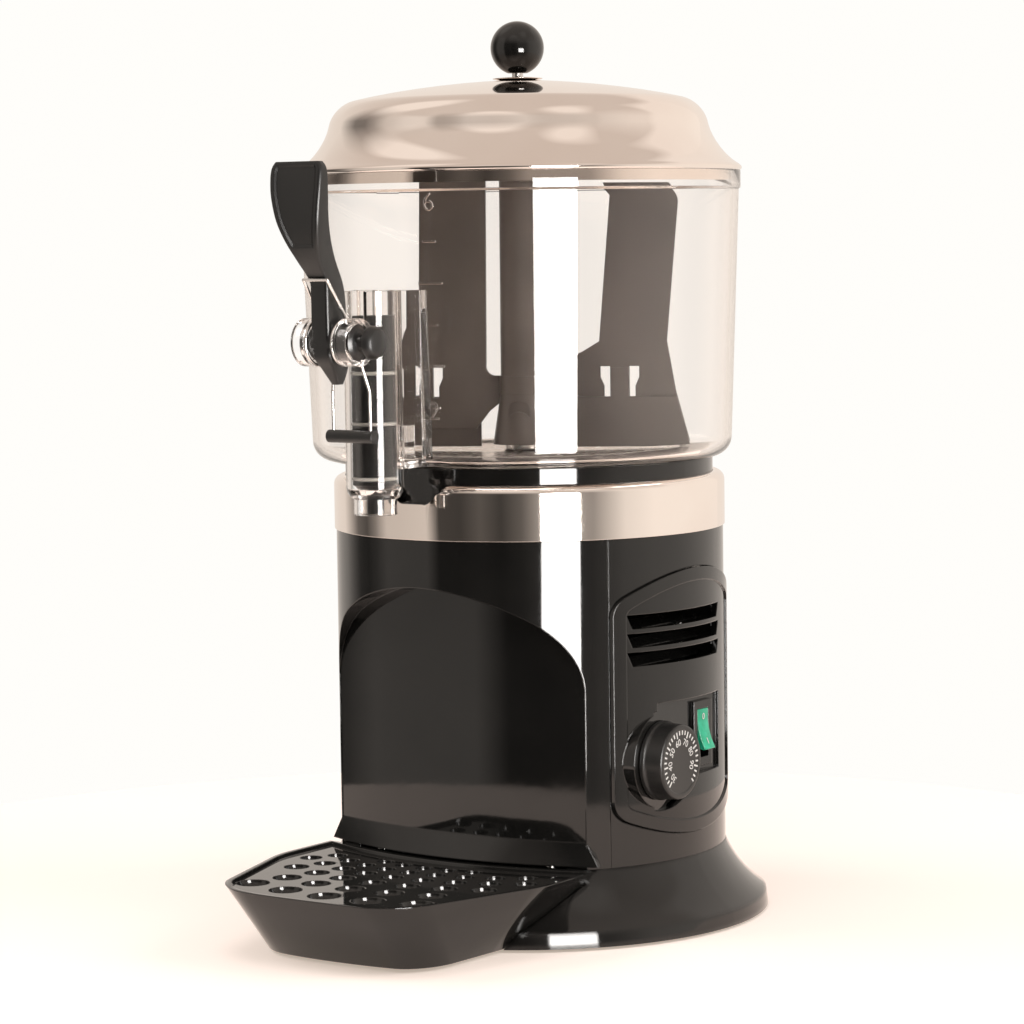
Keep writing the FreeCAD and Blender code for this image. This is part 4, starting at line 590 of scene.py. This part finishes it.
def blended(rows, steps):
    """Rows of numbers with smooth ones between them, on a curve that runs through every row."""
    padded = [rows[0], *rows, rows[-1]]
    result = []
    for a, b, c, d in zip(padded, padded[1:], padded[2:], padded[3:]):
        for index in range(steps):
            t = index / steps
            result.append([0.5 * (2 * q + (r - p) * t + (2 * p - 5 * q + 4 * r - s) * t ** 2
                                  + (3 * q - p - 3 * r + s) * t ** 3) for p, q, r, s in zip(a, b, c, d)])
    return result + [rows[-1]]


lever_form = bmesh.new()
last_ring = None
for rise, front, back, width in blended(LEVER_SECTIONS, BLENDS):
    half = width / 2
    loop = bmesh.new()
    chain(loop, [(half, -front, EDGE_ROUND), (half, back, EDGE_ROUND), (-half, back, EDGE_ROUND),
                 (-half, -front, EDGE_ROUND)], lambda x, y: (x, y, rise), True)
    start = len(lever_form.edges)
    lever_form.from_mesh(as_mesh(loop))
    if last_ring is not None:
        lever_form.edges.ensure_lookup_table()
        ring = lever_form.edges[start:]
        bmesh.ops.bridge_loops(lever_form, edges=last_ring + ring)
        last_ring = ring
    else:
        last_ring = lever_form.edges[:]
bmesh.ops.holes_fill(lever_form, edges=[edge for edge in lever_form.edges if edge.is_boundary], sides=0)
bmesh.ops.recalc_face_normals(lever_form, faces=lever_form.faces[:])
blade_face = [face for face in lever_form.faces if face.normal.y < -0.7
              and face.calc_center_median().z > BLADE_FOOT and face.calc_area() > BLADE_PIECE]
bmesh.ops.inset_region(lever_form, faces=blade_face, thickness=BLADE_RIM, use_even_offset=True,
                       use_boundary=True)
bmesh.ops.inset_region(lever_form, faces=blade_face, thickness=BLADE_RIM, depth=-BLADE_HOLLOW,
                       use_even_offset=True, use_boundary=True)
top_level = LEVER_SECTIONS[-1][0]
round_edges(lever_form, 1.2, 3, 0.9, lambda edge: min(vert.co.z for vert in edge.verts) > top_level - 0.01)
hub = lathe([(0, -HUB_HALF), (HUB_RADIUS, -HUB_HALF, 0.6), (HUB_RADIUS, HUB_HALF, 0.6), (0, HUB_HALF)],
            closed=False, steps=64)
journal = drum(JOURNAL_RADIUS, -JOURNAL_HALF, JOURNAL_HALF, 64)
arm_reach = TAP_AXIS.y - PIN_AXIS.y
arm = plate([(0, -ARM_HALF), (arm_reach, -ARM_HALF), (arm_reach, ARM_HALF), (0, ARM_HALF)],
            lambda y, z: (-FINGER, y, z), (2 * FINGER, 0, 0))
finger = drum(FINGER, -FINGER, FINGER, 48)
for form in (hub, journal, finger):
    bmesh.ops.rotate(form, verts=form.verts[:], cent=(0, 0, 0), matrix=ABOUT_X)
bmesh.ops.translate(finger, verts=finger.verts[:], vec=(0, arm_reach, 0))
for form in (hub, journal, arm, finger):
    lever_form = combined(lever_form, form, "UNION")
settle("lever", lever_form, satin_black, "lever", ["tap_lever"],
       Vector((0, PIN_AXIS.y, PIN_AXIS.z)), crease=40)

# %% [markdown]
# The drip tray is drafted: its floor is smaller than its rim, with one flat facet on each side. Two outlines
# are bridged for the outside, two more for the room inside, and the skirt's curve is left standing as a deck.

# %% Drip tray
tray_low, tray_high = (Vector(corner) / MM - BODY_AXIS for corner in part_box("drip_tray"))
TRAY_WALL = 2.2
SKIRT_RADIUS = 213.0
SKIRT_CENTRE_Y = 127.5
BEND_Y = -112
FACET = 28
FRONT_BOW = 1.9
TRAY_DRAFT = 27
ROOM_DRAFT = 26


def drafted(low_plan, low_level, high_plan, high_level):
    """A closed form between two outlines with the same corners, mirrored left and right."""
    bm = bmesh.new()
    for plan, level in ((low_plan, low_level), (high_plan, high_level)):
        left = [(-corner[0], *corner[1:]) for corner in plan if corner[0]]
        loop = bmesh.new()
        chain(loop, left + plan[::-1], lambda x, y: (x, y, level), True)
        bm.from_mesh(as_mesh(loop))
    bmesh.ops.bridge_loops(bm, edges=bm.edges[:])
    bmesh.ops.holes_fill(bm, edges=[edge for edge in bm.edges if edge.is_boundary], sides=0)
    bmesh.ops.recalc_face_normals(bm, faces=bm.faces[:])
    return bm


def deck(radius):
    """The round of the skirt, as a cutter."""
    bm = drum(radius, -5, 60)
    bmesh.ops.translate(bm, verts=bm.verts[:], vec=(0, SKIRT_CENTRE_Y, 0))
    return bm


def tray_plan(inset, narrower=0.0):
    """Half of the tray's outline, from its back corner to the middle of its front."""
    side = tray_high.x - inset - narrower
    front = -tray_low.y
    return [
        (side, tray_high.y),
        (side, BEND_Y, 8),
        (side - FACET + narrower * 0.9, -front + 3 + inset + narrower, 22),
        (0, -front - FRONT_BOW + inset + narrower * 0.83, 38)]


tray_form = drafted(tray_plan(0, TRAY_DRAFT), tray_low.z, tray_plan(0), tray_high.z)
room = drafted(tray_plan(TRAY_WALL, ROOM_DRAFT), tray_low.z + TRAY_WALL,
               tray_plan(TRAY_WALL), tray_high.z + 0.2)
tray_form = combined(tray_form, combined(room, deck(SKIRT_RADIUS), "DIFFERENCE"), "DIFFERENCE")
round_edges(tray_form, 0.6, 2, 0.7)
settle("tray", tray_form, gloss_black, "tray", ["drip_tray"], BODY_AXIS)

# %% Tray grid
# The cups sit on rings about the drum's axis and grow towards the front, so a loop places them.
grid_top = top_of("tray_grid")
GRID_GAUGE = 1.8
CUP_DEPTH = 4.5
GRID_RINGS = 6
RING_RATIO = 1.13
CUP_SHARE = 0.050
CUP_STEP = 8.2
CUP_STEPS = 32
GRID_GAP = 0.4
grid_plan = tray_plan(TRAY_WALL + GRID_GAP)
grid_form = drafted(grid_plan, grid_top - GRID_GAUGE, grid_plan, grid_top)
grid_form = combined(grid_form, deck(SKIRT_RADIUS + GRID_GAP), "DIFFERENCE")
openings = bmesh.new()
cups = bmesh.new()
for ring in range(GRID_RINGS):
    ring_radius = (-tray_low.y - 21) / RING_RATIO ** ring
    radius = ring_radius * CUP_SHARE
    for step in range(-4, 5):
        turn = math.radians(step * CUP_STEP)
        x = ring_radius * math.sin(turn)
        y = -ring_radius * math.cos(turn)
        deck_edge = SKIRT_CENTRE_Y - math.sqrt((SKIRT_RADIUS + 2.5) ** 2 - x * x)
        room_aside = tray_high.x - 8 + min(0, y - BEND_Y) * 0.25
        if abs(x) + radius > room_aside or y + radius > deck_edge:
            continue
        hole = drum(radius, -3, 3, CUP_STEPS)
        cup = lathe([(radius + 0.02, -0.9), (radius + 0.02, 0), (radius - 0.5, 0.15, 0.4),
                     (radius * 0.86, 0.8 - CUP_DEPTH, 3.0), (0, -CUP_DEPTH)], closed=False, steps=CUP_STEPS)
        for form, gathered in ((hole, openings), (cup, cups)):
            mesh = as_mesh(form)
            mesh.transform(Matrix.Translation((x, y, grid_top)))
            gathered.from_mesh(mesh)
grid_form = combined(grid_form, openings, "DIFFERENCE")
grid_form.from_mesh(as_mesh(cups))
settle("grid", grid_form, gloss_black, "grid", ["tray_grid"], BODY_AXIS)

# %% [markdown]
# The bowl carries its own scale: raised ticks and two numbers on the wall, moulded with it and hardly seen.

# %% Bowl scale
scale_marks = bmesh.new()
SCALE_HEADING = math.radians(11.7)
SCALE_TOP = 352
SCALE_STEP = 20.5
WALL_DRAFT = (FOOT_INSET - WALL_INSET) / (bowl_top - bowl_foot)


def on_wall(mesh, heading, level):
    """Set a flat mark, drawn facing +X, upright on the bowl's wall."""
    reach = rim_radius - FOOT_INSET + WALL_DRAFT * (level - bowl_foot) + 0.1
    mesh.transform(Matrix.Translation((reach, 0, level)))
    mesh.transform(Matrix.Rotation(heading - math.pi / 2, 4, "Z"))
    scale_marks.from_mesh(mesh)


for index in range(5):
    half_length = 3.6 if index % 2 == 0 else 6.5
    tick = slab((-0.3, -half_length, -0.6), (0.3, half_length, 0.6))
    on_wall(as_mesh(tick), SCALE_HEADING, SCALE_TOP - SCALE_STEP * index)
for text, level in (("6", SCALE_TOP + 19), ("2", SCALE_TOP - 84)):
    on_wall(lettered(text, 13, 0.3), SCALE_HEADING, level)
settle("bowl_scale", scale_marks, clear_tap, "bowl", centre=BOWL_AXIS)

# %% [markdown]
# The studio is a white floor and a world that is white to the camera. Shiny pieces see a gentler world,
# lighter to the right and darker ahead, and one tall narrow softbox draws the white line down the front.

# %% Floor
floor_mesh = bmesh.new()
bmesh.ops.create_circle(floor_mesh, cap_ends=True, segments=128, radius=0.48)
floor_data = as_mesh(floor_mesh, "studio_floor")
floor = bpy.data.objects.new("studio_floor", floor_data)
bpy.context.scene.collection.objects.link(floor)

paper = bpy.data.materials.new("floor_paper")
paper.use_nodes = True
tree = paper.node_tree
shader = tree.nodes["Principled BSDF"]
shader.inputs["Base Color"].default_value = (0.66, 0.59, 0.57, 1)
shader.inputs["Roughness"].default_value = 0.6
shader.inputs["Specular IOR Level"].default_value = 0.0
glow = tree.nodes.new("ShaderNodeEmission")
glow.inputs["Color"].default_value = (1.0, 0.84, 0.70, 1)
glow.inputs["Strength"].default_value = 0.46
bright = tree.nodes.new("ShaderNodeAddShader")
tree.links.new(shader.outputs["BSDF"], bright.inputs[0])
tree.links.new(glow.outputs["Emission"], bright.inputs[1])
ray = tree.nodes.new("ShaderNodeLightPath")
plain = tree.nodes.new("ShaderNodeMixShader")
tree.links.new(ray.outputs["Diffuse Depth"], plain.inputs["Fac"])
tree.links.new(bright.outputs["Shader"], plain.inputs[1])
tree.links.new(shader.outputs["BSDF"], plain.inputs[2])
tree.links.new(plain.outputs["Shader"], tree.nodes["Material Output"].inputs["Surface"])
floor_data.materials.append(paper)

# %% World
CREAM = (1.0, 0.988, 0.957)
world = bpy.data.worlds.new("studio")
bpy.context.scene.world = world
world.use_nodes = True
tree = world.node_tree
tree.nodes.clear()
ray = tree.nodes.new("ShaderNodeLightPath")
plain = tree.nodes.new("ShaderNodeBackground")
plain.inputs["Color"].default_value = (*CREAM, 1)
plain.inputs["Strength"].default_value = 1.0
soft = tree.nodes.new("ShaderNodeBackground")
soft.inputs["Color"].default_value = (1.0, 0.96, 0.93, 1)
soft.inputs["Strength"].default_value = 0.55
mirrored = tree.nodes.new("ShaderNodeBackground")

heading = tree.nodes.new("ShaderNodeTexCoord")
parts = tree.nodes.new("ShaderNodeSeparateXYZ")
tree.links.new(heading.outputs["Generated"], parts.inputs["Vector"])
ahead = tree.nodes.new("ShaderNodeMath")
ahead.operation = "MULTIPLY"
ahead.inputs[1].default_value = -1
tree.links.new(parts.outputs["Y"], ahead.inputs[0])
angle = tree.nodes.new("ShaderNodeMath")
angle.operation = "ARCTAN2"
tree.links.new(parts.outputs["X"], angle.inputs[0])
tree.links.new(ahead.outputs["Value"], angle.inputs[1])
turn = tree.nodes.new("ShaderNodeMapRange")
turn.inputs["From Min"].default_value = -math.pi
turn.inputs["From Max"].default_value = math.pi
tree.links.new(angle.outputs["Value"], turn.inputs["Value"])
ring = tree.nodes.new("ShaderNodeValToRGB")
TONES = [(-180, 0.95), (-104, 0.80), (-86, 0.14), (-76, 0.08), (-68, 0.22), (-58, 0.60), (-28, 0.68),
         (-20, 0.06), (-6, 0.05), (6, 0.10), (18, 0.05), (30, 0.12), (40, 0.30), (72, 0.33), (92, 0.85),
         (112, 1.0), (180, 1.0)]
stops = ring.color_ramp.elements
while len(stops) < len(TONES):
    stops.new(0.5)
for stop, (degrees, tone) in zip(stops, TONES):
    stop.position = (degrees + 180) / 360
    stop.color = (tone, tone * 0.90, tone * 0.81, 1)
tree.links.new(turn.outputs["Result"], ring.inputs["Fac"])
overhead = tree.nodes.new("ShaderNodeMapRange")
overhead.inputs["From Min"].default_value = 0.25
overhead.inputs["From Max"].default_value = 0.75
tree.links.new(parts.outputs["Z"], overhead.inputs["Value"])
sky = tree.nodes.new("ShaderNodeMix")
sky.data_type = "RGBA"
tree.links.new(overhead.outputs["Result"], sky.inputs["Factor"])
drift = tree.nodes.new("ShaderNodeTexNoise")
drift.inputs["Scale"].default_value = 1.5
drift.inputs["Detail"].default_value = 0.0
tree.links.new(heading.outputs["Generated"], drift.inputs["Vector"])
clouds = tree.nodes.new("ShaderNodeValToRGB")
clouds.color_ramp.elements[0].position = 0.44
clouds.color_ramp.elements[0].color = (0.68, 0.58, 0.51, 1)
clouds.color_ramp.elements[1].position = 0.56
clouds.color_ramp.elements[1].color = (0.95, 0.84, 0.755, 1)
tree.links.new(drift.outputs["Fac"], clouds.inputs["Fac"])
tree.links.new(clouds.outputs["Color"], sky.inputs["B"])
tree.links.new(ring.outputs["Color"], sky.inputs["A"])
tree.links.new(sky.outputs["Result"], mirrored.inputs["Color"])

lit = tree.nodes.new("ShaderNodeMixShader")
tree.links.new(ray.outputs["Glossy Depth"], lit.inputs["Fac"])
tree.links.new(soft.outputs["Background"], lit.inputs[1])
tree.links.new(mirrored.outputs["Background"], lit.inputs[2])
bounces = tree.nodes.new("ShaderNodeMath")
bounces.operation = "ADD"
bounces.use_clamp = True
tree.links.new(ray.outputs["Diffuse Depth"], bounces.inputs[0])
tree.links.new(ray.outputs["Glossy Depth"], bounces.inputs[1])
seen = tree.nodes.new("ShaderNodeMixShader")
tree.links.new(bounces.outputs["Value"], seen.inputs["Fac"])
tree.links.new(plain.outputs["Background"], seen.inputs[1])
tree.links.new(lit.outputs["Shader"], seen.inputs[2])
out = tree.nodes.new("ShaderNodeOutputWorld")
tree.links.new(seen.outputs["Shader"], out.inputs["Surface"])


# %% Lamps
def softbox(name, heading, distance, level, width, height, power, only_gloss=False):
    """A soft area lamp round the object, aimed at its middle."""
    lamp = bpy.data.lights.new(name, "AREA")
    lamp.shape = "RECTANGLE"
    lamp.size = width
    lamp.size_y = height
    lamp.energy = power
    lamp.color = (1.0, 0.97, 0.94)
    holder = bpy.data.objects.new(name, lamp)
    turn = math.radians(heading)
    holder.location = (math.sin(turn) * distance, -math.cos(turn) * distance, level)
    aim = Vector((0, 0, 0.22)) - holder.location
    if only_gloss:
        aim.z = 0
        holder.visible_diffuse = False
        holder.visible_transmission = False
    else:
        holder.visible_glossy = False
    holder.rotation_euler = aim.to_track_quat("-Z", "Y").to_euler()
    holder.visible_camera = False
    bpy.context.scene.collection.objects.link(holder)


softbox("strip", 53.9, 0.61, 0.2, 0.233, 0.4, 9, only_gloss=True)
softbox("key", -60, 1.8, 1.6, 1.2, 1.2, 22)
softbox("fill", 110, 1.8, 1.2, 1.2, 1.2, 24)
softbox("crown", 20, 0.6, 1.9, 1.0, 1.0, 12)

# %% [markdown]
# The camera stands where the photograph's did: a long lens at the height of the bowl, tilted down by 5
# degrees, rolled by less than one, and moved 35 degrees round to the machine's right.

# %% Camera
AZIMUTH = math.radians(35)
PITCH = math.radians(4.849)
ROLL = math.radians(-0.775)
forward = Vector((-math.sin(AZIMUTH) * math.cos(PITCH), math.cos(AZIMUTH) * math.cos(PITCH),
                  -math.sin(PITCH)))
level_right = Vector((math.cos(AZIMUTH), math.sin(AZIMUTH), 0))
level_up = level_right.cross(forward)
right = level_right * math.cos(ROLL) + level_up * math.sin(ROLL)
up = level_up * math.cos(ROLL) - level_right * math.sin(ROLL)
lens = bpy.data.cameras.new("studio_camera")
lens.sensor_width = 36
lens.lens = 117.56
lens.clip_start = 0.1
lens.clip_end = 30
camera = bpy.data.objects.new("studio_camera", lens)
camera.matrix_world = Matrix((right, up, -forward)).transposed().to_4x4()
camera.location = (0.9995, -1.4051, 0.3579)
bpy.context.scene.collection.objects.link(camera)
bpy.context.scene.camera = camera
bpy.context.scene.view_settings.view_transform = "Standard"
